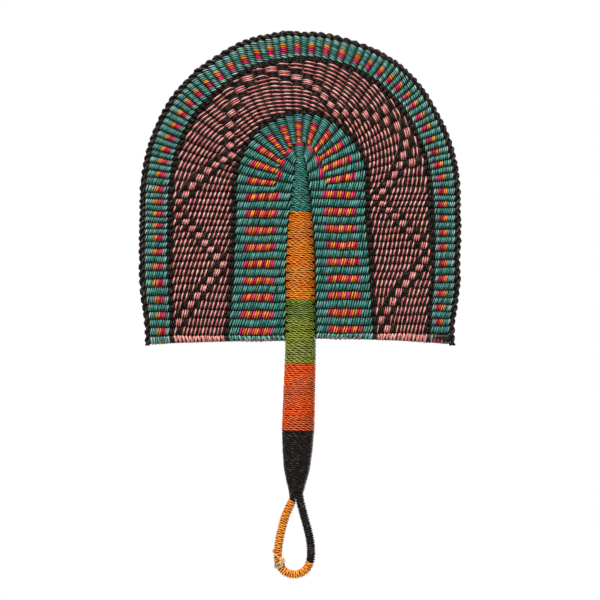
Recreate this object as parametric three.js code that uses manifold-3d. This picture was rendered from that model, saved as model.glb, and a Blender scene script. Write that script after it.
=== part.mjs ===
// A woven straw hand fan: weft bands round radiating spokes, a wound handle and a hanging loop.
// Millimetres. X runs across the blade, Y towards its back and Z up along the handle.
// The origin is level with the middle of the grip, on the axis of the stem.

import * as THREE from 'three';
import { mergeVertices } from 'three/addons/utils/BufferGeometryUtils.js';
import Module from 'manifold-3d';

const wasm = await Module();
wasm.setup();

// Fits between pieces
const CLEARANCE = 0.3;

// Handle winding: a flat strand whose turns pass between the necks of the spokes, two to a gap
const TURN_PITCH = 3.36;
const TURNS_PER_GAP = 2;
const STRAND_THICKNESS = 1.4;
const STRAND_WIDTH_FRONT = 2.6;
const STRAND_WIDTH_SIDE = 1.7;
const SIDE_SQUEEZE = 0.55;
const STEPS_PER_TURN = 8;

// Spokes, counted on one side of the stem
const RIB_PITCH = TURNS_PER_GAP * TURN_PITCH;
const NECKS_PER_SIDE = 21;
const TOP_NECK_Z = 205.2;
const SHOULDER_NECK_RIBS = [3, 3, 2, 2];
const CROWN_RIBS = 3;
const NECKS_IN_GROUP = [3, 4, 5, 6, 3];
const SPOKE_THICKNESS = 1.4;
const NECK_HEIGHT = 2.1;
const FINGER_HEIGHT = 4.4;
const NECK_STANDOFF = 0.9;
const PRONG_BASE_HEIGHT = 1.6;
const FORK_HEIGHT = 3.6;
const FORK_SPREAD = 0.25;
const FORK_CROTCH = 9;
const BAR_LAP = 1;

// Blade: half-widths of its rows on the straight sides, and its thickness
const STEM_GAP = 0.45;
const INNER_BAND_TO = 52;
const INNER_RING_WIDTH = 3.7;
const MIDDLE_BAND_WIDTH = 45.4;
const OUTER_RING_WIDTH = 3.7;
const OUTER_BAND_WIDTH = 17.2;
const EDGE_CORD_RADIUS = 2.15;
const EDGE_BUMP = 0.55;
const RIDGE_HALF_THICKNESS = 2.9;
const VALLEY_HALF_THICKNESS = 1.9;
const RING_HALF_THICKNESS = 2.5;
const BAND_END_WALL = 0.9;

// Blade: the arch of each row. From the innermost row to the edge its centre drops and it grows taller
// than it is wide
const ARCH_CENTRE_Z = TOP_NECK_Z - 7.6;
const ARCH_CENTRE_DROP = 21.6;
const ARCH_EXTRA_RISE = 6.6;
const ARCH_DROP_FROM = 10.4;
const ARCH_DROP_TO = 128;

// Blade: its middle lies a little to the left of the stem
const BLADE_SHIFT = -0.8;

// Blade: how the rows spread round the wider stem at the foot, and the edge draws in there
const FOOT_SPREAD = 4;
const FOOT_SPREAD_AT = 50;
const FOOT_DRAW_IN_RATE = 0.113;
const FOOT_HEIGHT = 48;

// Ribs in each band: on one straight side, and over the arch
const INNER_RIBS = { side: 17, arch: 23, taper: 0, perFacet: 1 };
const MIDDLE_RIBS = { side: 19, arch: 34, taper: 0.1, perFacet: 2 };
const OUTER_RIBS = { side: 21, arch: 66, taper: 0.2, perFacet: 3 };

// Hems along the foot of the blade
const HEM_HALF_THICKNESS = 2.7;
const HEM_DROP_AT_STEM = 4.6;
const HEM_DROP_AT_CORNER = 7.4;
const HEM_SIDES = 8;
const HEM_STEPS = 7;

// Outside of the wound stem and handle: height, half-width and half-depth
const STEM_PROFILE = [
  [TOP_NECK_Z + 6.8, 3.2, 3.2],
  [TOP_NECK_Z + 3.3, 3.6, 3.6],
  [TOP_NECK_Z - 5.2, 5.1, 4.8],
  [TOP_NECK_Z - 49.2, 10.1, 8.4],
  [TOP_NECK_Z - 77.8, 11.5, 9.4],
  [TOP_NECK_Z - 149.2, 12.4, 10.2],
  [-6.4, 13.2, 10.8],
  [-25.6, 12, 10.2],
  [-40, 10.4, 9.2],
  [-49.6, 8, 7.4],
  [-58, 6.4, 6],
  [-64, 6.2, 5.8],
];
const STEM_SHOULDER_Z = TOP_NECK_Z - 0.7;
const STEM_TIP_RISE = 7.5;

// The handle leans to the left below the blade, and the loop hangs back from there
const HANDLE_LEAN = 3.6;
const LOOP_LEAN = 0.8;
const LEAN_FROM_Z = TOP_NECK_Z - 149.2;
const LEAN_TO_Z = -64;
const LOOP_SWAY_LENGTH = 40;

// Handle core, made of the tails of the spokes, nested slab by slab
const CORE_TOP_Z = TOP_NECK_Z + 3.2;
const CORE_FOOT_Z = -52;
const SLAB_EDGES = [1.4, 3.6, 5.8, 7.4, 8.9];

// About where each colour of the handle winding ends: it changes on the nearest turn, at the back
const WINDING_START = -0.5;
const COLOUR_CHANGE_TURN = 0.25;
const WINDINGS = [
  ['Teal_stem_winding', TOP_NECK_Z - 37.8, 0x2d8378],
  ['Orange_stem_winding', TOP_NECK_Z - 108.4, 0xd8791c],
  ['Dark_green_stem_winding', TOP_NECK_Z - 125.2, 0x557a28],
  ['Light_green_stem_winding', TOP_NECK_Z - 158.8, 0x8d9630],
  ['Red_orange_grip_winding', -7.3, 0xe0551e],
  ['Black_neck_winding', -61.1, 0x1f1a1a],
];

// Hanging loop
const LOOP_CORE_RADIUS = 1.9;
const LOOP_CORE_SIDES = 6;
const LOOP_CORE_STEPS = 42;
const LOOP_CLEARANCE = 0.4;
const LOOP_TURN_PITCH = 4.6;
const LOOP_STRAND_THICKNESS = 1.3;
const LOOP_STRAND_GAP = 0.75;
const LOOP_STEPS_PER_TURN = 8;
const LOOP_WINDING_TOP_Z = -65;
const LOOP_BLACK_TO_Z = -113;
const TIE_FROM_Z = -104;
const TIE_TO_Z = -117;
const TIE_PITCH = 3.6;
const TIE_THICKNESS = 0.9;
const KNOT_RADIUS = 1.5;
const KNOT_Z = -110;
const LOOP_ROUTE = [
  [2.3, -54.5], [2.4, -60], [4.1, -68], [6.3, -80], [8.2, -91.5], [9.1, -102], [8.75, -111.7],
  [5.76, -118.96], [0.25, -122.8], [-6.46, -123.4], [-12.56, -120.56], [-16.4, -115],
  [-17.3, -106.5], [-16.1, -97], [-13.1, -87], [-9.8, -77.5], [-6.3, -69], [-2.7, -61.4], [-2.3, -54.5],
];

// Colours
const STRAW = 0xc79a62;
const NATURAL_TIE = 0xcda06e;
const TEAL = 0x28827a;
const BLACK = 0x1f1a1a;
const SALMON = 0xc9695d;
const LOOP_ORANGE = 0xd8761e;

const LEFT = -1;
const RIGHT = 1;
const TAU = Math.PI * 2;
const fan = new THREE.Group();

// Small helpers

function lerp(a, b, t) {
  return a + (b - a) * t;
}

function addPiece(name, geometry, colour, roughness) {
  const material = new THREE.MeshStandardMaterial({ color: colour, roughness, metalness: 0 });
  const mesh = new THREE.Mesh(geometry, material);
  mesh.name = name;
  fan.add(mesh);
}

function enclosedVolume(positions, triangles) {
  const a = new THREE.Vector3();
  const b = new THREE.Vector3();
  const c = new THREE.Vector3();
  let volume = 0;
  for (let i = 0; i < triangles.length; i += 3) {
    a.fromArray(positions, triangles[i] * 3);
    b.fromArray(positions, triangles[i + 1] * 3);
    c.fromArray(positions, triangles[i + 2] * 3);
    volume += a.dot(b.cross(c)) / 6;
  }
  return volume;
}

// A closed body through a row of rings, each ring the same count of points, with flat ends.
function loft(rings) {
  const sides = rings[0].length;
  const positions = [];
  const triangles = [];
  rings.flat().forEach((point) => positions.push(point.x, point.y, point.z));
  for (let ring = 0; ring < rings.length - 1; ring += 1) {
    for (let side = 0; side < sides; side += 1) {
      const here = ring * sides + side;
      const beside = ring * sides + (side + 1) % sides;
      triangles.push(here, beside, here + sides, beside, beside + sides, here + sides);
    }
  }
  const last = (rings.length - 1) * sides;
  for (let side = 1; side < sides - 1; side += 1) {
    triangles.push(0, side + 1, side);
    triangles.push(last, last + side, last + side + 1);
  }
  if (enclosedVolume(positions, triangles) < 0) {
    for (let i = 0; i < triangles.length; i += 3) {
      [triangles[i + 1], triangles[i + 2]] = [triangles[i + 2], triangles[i + 1]];
    }
  }
  const geometry = new THREE.BufferGeometry();
  geometry.setAttribute('position', new THREE.Float32BufferAttribute(positions, 3));
  geometry.setIndex(triangles);
  return geometry;
}

function toSolid(geometry) {
  const bare = geometry.clone();
  bare.deleteAttribute('normal');
  bare.deleteAttribute('uv');
  const merged = mergeVertices(bare, 1e-4);
  return new wasm.Manifold(new wasm.Mesh({
    numProp: 3,
    vertProperties: new Float32Array(merged.attributes.position.array),
    triVerts: new Uint32Array(merged.index.array),
  }));
}

function toGeometry(solid) {
  const mesh = solid.getMesh();
  const geometry = new THREE.BufferGeometry();
  geometry.setAttribute('position', new THREE.Float32BufferAttribute(mesh.vertProperties, 3));
  geometry.setIndex(Array.from(mesh.triVerts));
  return geometry;
}

function joined(solids) {
  return solids.reduce((whole, solid) => whole.add(solid));
}

// The stem and handle

// Half-width and half-depth of the wound stem at a height.
function stemSize(z) {
  let row = 1;
  while (row < STEM_PROFILE.length - 1 && z < STEM_PROFILE[row][0]) {
    row += 1;
  }
  const [z0, width0, depth0] = STEM_PROFILE[row - 1];
  const [z1, width1, depth1] = STEM_PROFILE[row];
  const t = THREE.MathUtils.clamp((z0 - z) / (z0 - z1), 0, 1);
  return { width: lerp(width0, width1, t), depth: lerp(depth0, depth1, t) };
}

// How far to the left everything lies at a height, from the foot of the blade down.
function leanAt(z) {
  if (z > LEAN_TO_Z) {
    return HANDLE_LEAN * THREE.MathUtils.clamp((LEAN_FROM_Z - z) / (LEAN_FROM_Z - LEAN_TO_Z), 0, 1);
  }
  return lerp(HANDLE_LEAN, LOOP_LEAN, THREE.MathUtils.smoothstep(LEAN_TO_Z - z, 0, LOOP_SWAY_LENGTH));
}

function leaned(geometry) {
  const position = geometry.getAttribute('position');
  for (let i = 0; i < position.count; i += 1) {
    position.setX(i, position.getX(i) - leanAt(position.getZ(i)));
  }
  return geometry;
}

// A solid that crosses the foot of the blade is cut there, so that its flat sides bend only on that line.
function leanedSolid(solid) {
  const above = solid.trimByPlane([0, 0, 1], LEAN_FROM_Z);
  const below = solid.trimByPlane([0, 0, -1], -LEAN_FROM_Z);
  return above.add(toSolid(leaned(toGeometry(below))));
}

// Height of a spoke's neck. Those on the left lie half a turn of the winding below the right ones.
function neckZ(side, neck) {
  const stagger = side === RIGHT ? TURN_PITCH / 2 : 0;
  return TOP_NECK_Z - neck * RIB_PITCH + stagger;
}

// The winding's turns close up in pairs at each side of the stem, to leave room for the necks.
function windingPoint(turn) {
  const angle = turn * TAU;
  const sideShare = Math.cos(angle) ** 4;
  const halfTurn = Math.round(turn * 2);
  const isUpperOfPair = Math.floor(halfTurn / 2) % 2 === 0;
  const hemZ = neckZ(LEFT, NECKS_PER_SIDE);
  const z = TOP_NECK_Z - TURN_PITCH * turn;
  const inBlade = THREE.MathUtils.smoothstep(z, hemZ - RIB_PITCH, hemZ);
  const squeeze = SIDE_SQUEEZE * sideShare * inBlade * (isUpperOfPair ? -1 : 1);
  const width = lerp(STRAND_WIDTH_FRONT, STRAND_WIDTH_SIDE, sideShare * inBlade);
  return { angle, z: z + squeeze, width };
}

function windingRing(turn) {
  const { angle, z, width } = windingPoint(turn);
  const size = stemSize(z);
  const ring = [];
  [[0, 1], [0, -1], [STRAND_THICKNESS, -1], [STRAND_THICKNESS, 1]].forEach(([depth, edge]) => {
    const x = (size.width - depth) * Math.cos(angle);
    const y = (size.depth - depth) * Math.sin(angle);
    ring.push(new THREE.Vector3(x, y, z + edge * width / 2));
  });
  return ring;
}

// Least distance from the points of one turn to those of the next.
function leastTurnGap(rings, stepsPerTurn) {
  let least = Infinity;
  for (let i = 0; i + stepsPerTurn < rings.length; i += 1) {
    rings[i].forEach((point) => {
      rings[i + stepsPerTurn].forEach((other) => {
        least = Math.min(least, point.distanceTo(other));
      });
    });
  }
  return least;
}

function addStemWindings() {
  let from = WINDING_START;
  WINDINGS.forEach(([name, endZ, colour]) => {
    const to = Math.round((TOP_NECK_Z - endZ) / TURN_PITCH) + COLOUR_CHANGE_TURN;
    const perimeter = TAU * stemSize(TOP_NECK_Z - TURN_PITCH * to).width;
    const trim = CLEARANCE / perimeter;
    const steps = Math.round((to - from) * STEPS_PER_TURN);
    const rings = [];
    for (let step = 0; step <= steps; step += 1) {
      let turn = from + step / STEPS_PER_TURN;
      if (step === 0) {
        turn += trim;
      }
      if (step === steps) {
        turn -= trim;
      }
      rings.push(windingRing(turn));
    }
    console.log(`${name}: least gap between turns ${leastTurnGap(rings, STEPS_PER_TURN).toFixed(2)} mm`);
    addPiece(name, leaned(loft(rings)), colour, 0.6);
    from = to;
  });
}

// The rows of the blade

function footZ(side) {
  return neckZ(side, NECKS_PER_SIDE - 1) - RIB_PITCH / 2;
}

function shoulderZ(side) {
  return neckZ(side, SHOULDER_NECK_RIBS.length - 1) - RIB_PITCH / 2;
}

// Where a row lies between the innermost one, at 0, and the edge of the blade, at 1.
function archShare(halfWidth) {
  return (halfWidth - ARCH_DROP_FROM) / (ARCH_DROP_TO - ARCH_DROP_FROM);
}

// How far a row moves out sideways near the foot of the blade.
function footShift(halfWidth, z) {
  const height = THREE.MathUtils.clamp((z - footZ(LEFT)) / FOOT_HEIGHT, 0, 1);
  const share = Math.cos(height * Math.PI / 2) ** 2;
  const stemHalf = stemSize(footZ(LEFT)).width;
  const inner = FOOT_SPREAD * (halfWidth - stemHalf) / (FOOT_SPREAD_AT - stemHalf);
  const outer = FOOT_SPREAD - FOOT_DRAW_IN_RATE * (halfWidth - FOOT_SPREAD_AT);
  return share * Math.min(inner, outer);
}

// Height above the foot after a number of ribs up one side.
function climbedBy(ribs, layout, side) {
  const climb = shoulderZ(side) - footZ(side);
  const share = ribs / layout.side;
  return climb * (share + layout.taper * share * (1 - share));
}

function ribCount(layout) {
  return layout.side * 2 + layout.arch;
}

// A point of a row by the number of ribs passed from the left foot, over the arch, to the right foot.
function rowPoint(layout, halfWidth, ribs) {
  const total = ribCount(layout);
  if (ribs <= layout.side || ribs >= total - layout.side) {
    const side = ribs <= layout.side ? LEFT : RIGHT;
    const z = footZ(side) + climbedBy(side === LEFT ? ribs : total - ribs, layout, side);
    return new THREE.Vector2(BLADE_SHIFT + side * (halfWidth + footShift(halfWidth, z)), z);
  }
  const centreZ = ARCH_CENTRE_Z - ARCH_CENTRE_DROP * archShare(halfWidth);
  const archRise = halfWidth + ARCH_EXTRA_RISE * archShare(halfWidth);
  const meanRadius = (halfWidth + archRise) / 2;
  const leftRise = centreZ - shoulderZ(LEFT);
  const rightRise = centreZ - shoulderZ(RIGHT);
  const length = leftRise + Math.PI * meanRadius + rightRise;
  const travel = length * (ribs - layout.side) / layout.arch;
  if (travel < leftRise) {
    return new THREE.Vector2(BLADE_SHIFT - halfWidth, shoulderZ(LEFT) + travel);
  }
  if (travel > length - rightRise) {
    return new THREE.Vector2(BLADE_SHIFT + halfWidth, shoulderZ(RIGHT) + length - travel);
  }
  const angle = Math.PI - (travel - leftRise) / meanRadius;
  return new THREE.Vector2(
    BLADE_SHIFT + halfWidth * Math.cos(angle),
    centreZ + archRise * Math.sin(angle),
  );
}

// The innermost row follows the outside of the stem and closes over its tip.
function stemEdgePath(gap) {
  const path = [];
  const tipHalf = stemSize(STEM_SHOULDER_Z).width + gap;
  [LEFT, RIGHT].forEach((side) => {
    const half = [new THREE.Vector2(side * (stemSize(shoulderZ(side)).width + gap), shoulderZ(side))];
    STEM_PROFILE.filter(([z]) => z < STEM_SHOULDER_Z && z > shoulderZ(side)).forEach(([z, width]) => {
      half.push(new THREE.Vector2(side * (width + gap), z));
    });
    for (let step = 0; step < 4; step += 1) {
      const angle = step * Math.PI / 8;
      const x = side * tipHalf * Math.cos(angle);
      half.push(new THREE.Vector2(x, STEM_SHOULDER_Z + (STEM_TIP_RISE + gap) * Math.sin(angle)));
    }
    path.push(...(side === LEFT ? half : half.reverse()));
    if (side === LEFT) {
      path.push(new THREE.Vector2(0, STEM_SHOULDER_Z + STEM_TIP_RISE + gap));
    }
  });
  return path;
}

function alongPath(path, share) {
  const lengths = [0];
  for (let i = 1; i < path.length; i += 1) {
    lengths.push(lengths[i - 1] + path[i].distanceTo(path[i - 1]));
  }
  const travel = share * lengths[lengths.length - 1];
  let leg = 1;
  while (leg < path.length - 1 && lengths[leg] < travel) {
    leg += 1;
  }
  const t = (travel - lengths[leg - 1]) / (lengths[leg] - lengths[leg - 1]);
  return path[leg - 1].clone().lerp(path[leg], t);
}

function stemEdgePoint(layout, gap, ribs) {
  const total = ribCount(layout);
  if (ribs <= layout.side || ribs >= total - layout.side) {
    const side = ribs <= layout.side ? LEFT : RIGHT;
    const z = footZ(side) + climbedBy(side === LEFT ? ribs : total - ribs, layout, side);
    return new THREE.Vector2(side * (stemSize(z).width + gap), z);
  }
  return alongPath(stemEdgePath(gap), (ribs - layout.side) / layout.arch);
}

// A point on the flat facets between every few ribs.
function facetPoint(layout, edge, ribs) {
  const step = layout.perFacet;
  const before = Math.floor(ribs / step) * step;
  const after = Math.min(before + step, ribCount(layout));
  if (ribs === before) {
    return edge(ribs);
  }
  return edge(before).lerp(edge(after), (ribs - before) / (after - before));
}

function plateRing(outer, inner, halfThickness) {
  return [
    new THREE.Vector3(outer.x, -halfThickness, outer.y),
    new THREE.Vector3(inner.x, -halfThickness, inner.y),
    new THREE.Vector3(inner.x, halfThickness, inner.y),
    new THREE.Vector3(outer.x, halfThickness, outer.y),
  ];
}

// A band of weft rows: front and back layers that meet at both feet, with the spokes between them.
function bandGeometry(layout, innerEdge, outerEdge, valleyHalf, ridgeHalf) {
  const total = ribCount(layout);
  const ribbed = ridgeHalf !== valleyHalf;
  const stations = [];
  for (let ribs = 0; ribs < total; ribs += ribbed ? 0.5 : layout.perFacet) {
    stations.push(ribs);
  }
  stations.push(total);
  const plate = loft(stations.map((ribs) => {
    const outer = facetPoint(layout, (r) => outerEdge(r, 0), ribs);
    const inner = facetPoint(layout, (r) => innerEdge(r, 0), ribs);
    const isRidge = ribbed && ribs % 1 !== 0;
    return plateRing(outer, inner, isRidge ? ridgeHalf : valleyHalf);
  }));

  const slotHalf = SPOKE_THICKNESS / 2 + CLEARANCE;
  const wallInRibs = BAND_END_WALL / (climbedBy(1, layout, LEFT));
  const margin = 1;
  const slotStations = [wallInRibs];
  for (let ribs = layout.perFacet; ribs < total; ribs += layout.perFacet) {
    slotStations.push(ribs);
  }
  slotStations.push(total - wallInRibs);
  const slot = loft(slotStations.map((ribs) => {
    const outer = facetPoint(layout, (r) => outerEdge(r, margin), ribs);
    const inner = facetPoint(layout, (r) => innerEdge(r, -margin), ribs);
    return plateRing(outer, inner, slotHalf);
  }));
  return toGeometry(toSolid(plate).subtract(toSolid(slot)));
}

function addBands() {
  const ringFrom = INNER_BAND_TO + CLEARANCE;
  const middleFrom = ringFrom + INNER_RING_WIDTH + CLEARANCE;
  const outerRingFrom = middleFrom + MIDDLE_BAND_WIDTH + CLEARANCE;
  const outerFrom = outerRingFrom + OUTER_RING_WIDTH + CLEARANCE;
  const edgeOf = (layout, halfWidth) => (ribs, margin) => rowPoint(layout, halfWidth + margin, ribs);
  const stemEdge = (ribs, margin) => stemEdgePoint(INNER_RIBS, STEM_GAP + margin, ribs);

  const inner = bandGeometry(INNER_RIBS, stemEdge, edgeOf(INNER_RIBS, INNER_BAND_TO),
    VALLEY_HALF_THICKNESS, RIDGE_HALF_THICKNESS);
  addPiece('Inner_teal_band', inner, TEAL, 0.6);

  const innerRing = bandGeometry(MIDDLE_RIBS, edgeOf(MIDDLE_RIBS, ringFrom),
    edgeOf(MIDDLE_RIBS, ringFrom + INNER_RING_WIDTH), RING_HALF_THICKNESS, RING_HALF_THICKNESS);
  addPiece('Inner_black_ring', innerRing, BLACK, 0.6);

  const middle = bandGeometry(MIDDLE_RIBS, edgeOf(MIDDLE_RIBS, middleFrom),
    edgeOf(MIDDLE_RIBS, middleFrom + MIDDLE_BAND_WIDTH), VALLEY_HALF_THICKNESS, RIDGE_HALF_THICKNESS);
  addPiece('Salmon_and_black_band', middle, SALMON, 0.6);

  const outerRing = bandGeometry(OUTER_RIBS, edgeOf(OUTER_RIBS, outerRingFrom),
    edgeOf(OUTER_RIBS, outerRingFrom + OUTER_RING_WIDTH), RING_HALF_THICKNESS, RING_HALF_THICKNESS);
  addPiece('Outer_black_ring', outerRing, BLACK, 0.6);

  const outer = bandGeometry(OUTER_RIBS, edgeOf(OUTER_RIBS, outerFrom), edgeOf(OUTER_RIBS, BLADE_EDGE),
    VALLEY_HALF_THICKNESS, RIDGE_HALF_THICKNESS);
  addPiece('Outer_teal_band', outer, TEAL, 0.6);
}

const BLADE_EDGE = INNER_BAND_TO + INNER_RING_WIDTH + MIDDLE_BAND_WIDTH + OUTER_RING_WIDTH
  + OUTER_BAND_WIDTH + 4 * CLEARANCE;

// The black cord on the edge, with one bump over each rib, from corner to corner.
function addEdgeCord() {
  const centre = BLADE_EDGE + CLEARANCE + EDGE_CORD_RADIUS + EDGE_BUMP;
  const sides = 4;
  const total = ribCount(OUTER_RIBS);
  const hemCornerZ = footZ(LEFT) - HEM_DROP_AT_CORNER;
  const [ribsBelowLeft, ribsBelowRight] = [LEFT, RIGHT].map((side) => {
    return (footZ(side) - hemCornerZ) / climbedBy(1, OUTER_RIBS, side);
  });
  const stations = [-ribsBelowLeft];
  for (let ribs = 0; ribs <= total; ribs += 0.5) {
    stations.push(ribs);
  }
  stations.push(total + ribsBelowRight);
  const rings = stations.map((ribs) => {
    const point = rowPoint(OUTER_RIBS, centre, ribs);
    const outward = rowPoint(OUTER_RIBS, centre + 1, ribs).sub(point).normalize();
    const radius = EDGE_CORD_RADIUS + (ribs % 1 !== 0 ? EDGE_BUMP : 0);
    const ring = [];
    for (let side = 0; side < sides; side += 1) {
      const angle = side * TAU / sides;
      const across = radius * Math.cos(angle);
      ring.push(new THREE.Vector3(
        point.x + outward.x * across,
        radius * Math.sin(angle),
        point.y + outward.y * across,
      ));
    }
    return ring;
  });
  addPiece('Black_edge_cord', loft(rings), BLACK, 0.65);
}

// A hem closes the foot of the blade on one side, from the stem out to the edge cord. Both hems end at
// the same height.
function addHem(name, side) {
  const top = footZ(side) - CLEARANCE;
  const corner = footZ(LEFT) - HEM_DROP_AT_CORNER / 2;
  const from = side * (stemSize(top).width + CLEARANCE);
  const to = BLADE_SHIFT + side * (BLADE_EDGE + footShift(BLADE_EDGE, corner));
  const rings = [];
  for (let step = 0; step <= HEM_STEPS; step += 1) {
    const share = step / HEM_STEPS;
    const bottom = footZ(LEFT) - lerp(HEM_DROP_AT_STEM, HEM_DROP_AT_CORNER, share ** 2);
    const halfHeight = (top - bottom) / 2;
    const ring = [];
    for (let i = 0; i < HEM_SIDES; i += 1) {
      const angle = (i + 0.5) * TAU / HEM_SIDES;
      ring.push(new THREE.Vector3(
        lerp(from, to, share),
        HEM_HALF_THICKNESS * Math.sin(angle),
        (top + bottom) / 2 + halfHeight * Math.cos(angle),
      ));
    }
    rings.push(ring);
  }
  addPiece(name, loft(rings), SALMON, 0.6);
}

// The spokes and the core of the handle

function extrudedPlate(points) {
  const shape = new THREE.Shape(points);
  const geometry = new THREE.ExtrudeGeometry(shape, { depth: SPOKE_THICKNESS, bevelEnabled: false });
  geometry.translate(0, 0, -SPOKE_THICKNESS / 2);
  geometry.rotateX(Math.PI / 2);
  return toSolid(geometry);
}

// A flat bar between two points of the blade, with its own height at each end.
function bar(from, to, heightFrom, heightTo) {
  const along = to.clone().sub(from).normalize();
  const across = new THREE.Vector2(-along.y, along.x);
  const start = from.clone().addScaledVector(along, -BAR_LAP);
  return extrudedPlate([
    start.clone().addScaledVector(across, -heightFrom / 2),
    to.clone().addScaledVector(across, -heightTo / 2),
    to.clone().addScaledVector(across, heightTo / 2),
    start.clone().addScaledVector(across, heightFrom / 2),
  ]);
}

// A spoke of the straight side, slim where it passes through the winding and wider to the edge.
function sideSpoke(side, neck, startX) {
  const z = neckZ(side, neck);
  const endX = BLADE_EDGE + footShift(BLADE_EDGE, z - RIB_PITCH / 2);
  const from = new THREE.Vector2(side * (startX + BAR_LAP), z);
  return bar(from, new THREE.Vector2(BLADE_SHIFT + side * endX, z), NECK_HEIGHT, FINGER_HEIGHT);
}

// A spoke of the arch: a prong that widens to the inner ring, then parts in two out to the edge.
function forkedSpoke(base, rib) {
  const end = BLADE_EDGE - CLEARANCE;
  const fork = rowPoint(INNER_RIBS, INNER_BAND_TO, rib);
  const out = fork.clone().sub(base).normalize();
  const across = new THREE.Vector2(-out.y, out.x);
  const tips = [rib - FORK_SPREAD, rib + FORK_SPREAD].map((at) => rowPoint(INNER_RIBS, end, at));
  const sideways = tips[0].clone().sub(tips[1]).normalize();
  const turned = Math.sign(sideways.dot(across));
  const outline = [
    base.clone().addScaledVector(across, turned * PRONG_BASE_HEIGHT / 2),
    fork.clone().addScaledVector(across, turned * FINGER_HEIGHT / 2),
    tips[0].clone().addScaledVector(sideways, FORK_HEIGHT / 2),
    tips[0].clone().addScaledVector(sideways, -FORK_HEIGHT / 2),
    fork.clone().addScaledVector(out, FORK_CROTCH),
    tips[1].clone().addScaledVector(sideways, FORK_HEIGHT / 2),
    tips[1].clone().addScaledVector(sideways, -FORK_HEIGHT / 2),
    fork.clone().addScaledVector(across, -turned * FINGER_HEIGHT / 2),
    base.clone().addScaledVector(across, -turned * PRONG_BASE_HEIGHT / 2),
  ];
  return extrudedPlate(outline);
}

function shoulderSpokes(side, neck, startX) {
  const z = neckZ(side, neck);
  const base = new THREE.Vector2(side * (stemSize(z).width + NECK_STANDOFF), z);
  const lowerRibs = SHOULDER_NECK_RIBS.slice(neck + 1).reduce((sum, count) => sum + count, 0);
  const neckEnd = new THREE.Vector2(base.x + side * BAR_LAP, z);
  const pieces = [bar(new THREE.Vector2(side * (startX + BAR_LAP), z), neckEnd, NECK_HEIGHT, NECK_HEIGHT)];
  for (let i = 0; i < SHOULDER_NECK_RIBS[neck]; i += 1) {
    const ribsUp = INNER_RIBS.side + lowerRibs + i + 0.5;
    pieces.push(forkedSpoke(base, side === LEFT ? ribsUp : ribCount(INNER_RIBS) - ribsUp));
  }
  return joined(pieces);
}

// The whole core as one body, from the tip of the stem to the neck, cut up into slabs below.
function coreSolid() {
  const inset = STRAND_THICKNESS + CLEARANCE;
  const uncutTop = CORE_TOP_Z + BAR_LAP;
  const heights = STEM_PROFILE.map(([z]) => z).filter((z) => z < uncutTop && z > CORE_FOOT_Z);
  const rings = [uncutTop, ...heights, CORE_FOOT_Z].map((z) => {
    const size = stemSize(z);
    const ring = [];
    for (let step = 0; step < STEPS_PER_TURN; step += 1) {
      const angle = step * TAU / STEPS_PER_TURN;
      const x = (size.width - inset) * Math.cos(angle);
      ring.push(new THREE.Vector3(x, (size.depth - inset) * Math.sin(angle), z));
    }
    return ring;
  });
  return toSolid(loft(rings));
}

function slab(core, xFrom, xTo, zTop) {
  const deep = stemSize(0).depth * 4;
  const tall = zTop - CORE_FOOT_Z + BAR_LAP * 2;
  const box = new THREE.BoxGeometry(xTo - xFrom, deep, tall);
  box.translate((xFrom + xTo) / 2, 0, zTop - tall / 2);
  return leanedSolid(core.intersect(toSolid(box)));
}

function addSpokes() {
  const core = coreSolid();
  const halfGap = CLEARANCE / 2;
  const levels = ['shoulder', 'upper', 'middle', 'lower', 'lowest'];
  const crownTip = new THREE.Vector2(0, CORE_TOP_Z - BAR_LAP);
  const crown = [slab(core, -SLAB_EDGES[0] + halfGap, SLAB_EDGES[0] - halfGap, CORE_TOP_Z)];
  const stemTop = new THREE.Vector2(0, STEM_SHOULDER_Z + STEM_TIP_RISE);
  crown.push(bar(crownTip, new THREE.Vector2(0, stemTop.y + BAR_LAP), NECK_HEIGHT, NECK_HEIGHT));
  for (let i = 0; i < CROWN_RIBS; i += 1) {
    crown.push(forkedSpoke(stemTop, ribCount(INNER_RIBS) / 2 + i - (CROWN_RIBS - 1) / 2));
  }
  addPiece('Crown_spokes', toGeometry(joined(crown)), STRAW, 0.8);

  [[LEFT, 'Left'], [RIGHT, 'Right']].forEach(([side, sideName]) => {
    let neck = 0;
    levels.forEach((level, group) => {
      const xInner = SLAB_EDGES[group] + halfGap;
      const xOuter = group + 1 < SLAB_EDGES.length ? SLAB_EDGES[group + 1] - halfGap : stemSize(0).width;
      const zTop = neckZ(side, neck) + NECK_HEIGHT / 2;
      const xFrom = side === LEFT ? -xOuter : xInner;
      const pieces = [slab(core, xFrom, xFrom + xOuter - xInner, zTop)];
      for (let i = 0; i < NECKS_IN_GROUP[group]; i += 1) {
        const isShoulder = neck < SHOULDER_NECK_RIBS.length;
        const spoke = isShoulder ? shoulderSpokes : sideSpoke;
        pieces.push(spoke(side, neck, xInner));
        neck += 1;
      }
      addPiece(`${sideName}_${level}_spokes`, toGeometry(joined(pieces)), STRAW, 0.8);
    });
  });
}

// The hanging loop, a bent bundle in the plane of the blade

const loopCurve = new THREE.CatmullRomCurve3(
  LOOP_ROUTE.map(([x, z]) => new THREE.Vector3(x, 0, z)),
  false,
  'centripetal',
);

function addLoopCore() {
  const section = new THREE.Shape();
  for (let side = 0; side < LOOP_CORE_SIDES; side += 1) {
    const angle = side * TAU / LOOP_CORE_SIDES;
    const x = LOOP_CORE_RADIUS * Math.cos(angle);
    const y = LOOP_CORE_RADIUS * Math.sin(angle);
    if (side === 0) {
      section.moveTo(x, y);
    } else {
      section.lineTo(x, y);
    }
  }
  const geometry = new THREE.ExtrudeGeometry(section, {
    steps: LOOP_CORE_STEPS,
    extrudePath: loopCurve,
    curveSegments: 1,
  });
  addPiece('Loop_core', leaned(geometry), STRAW, 0.8);
}

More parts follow.
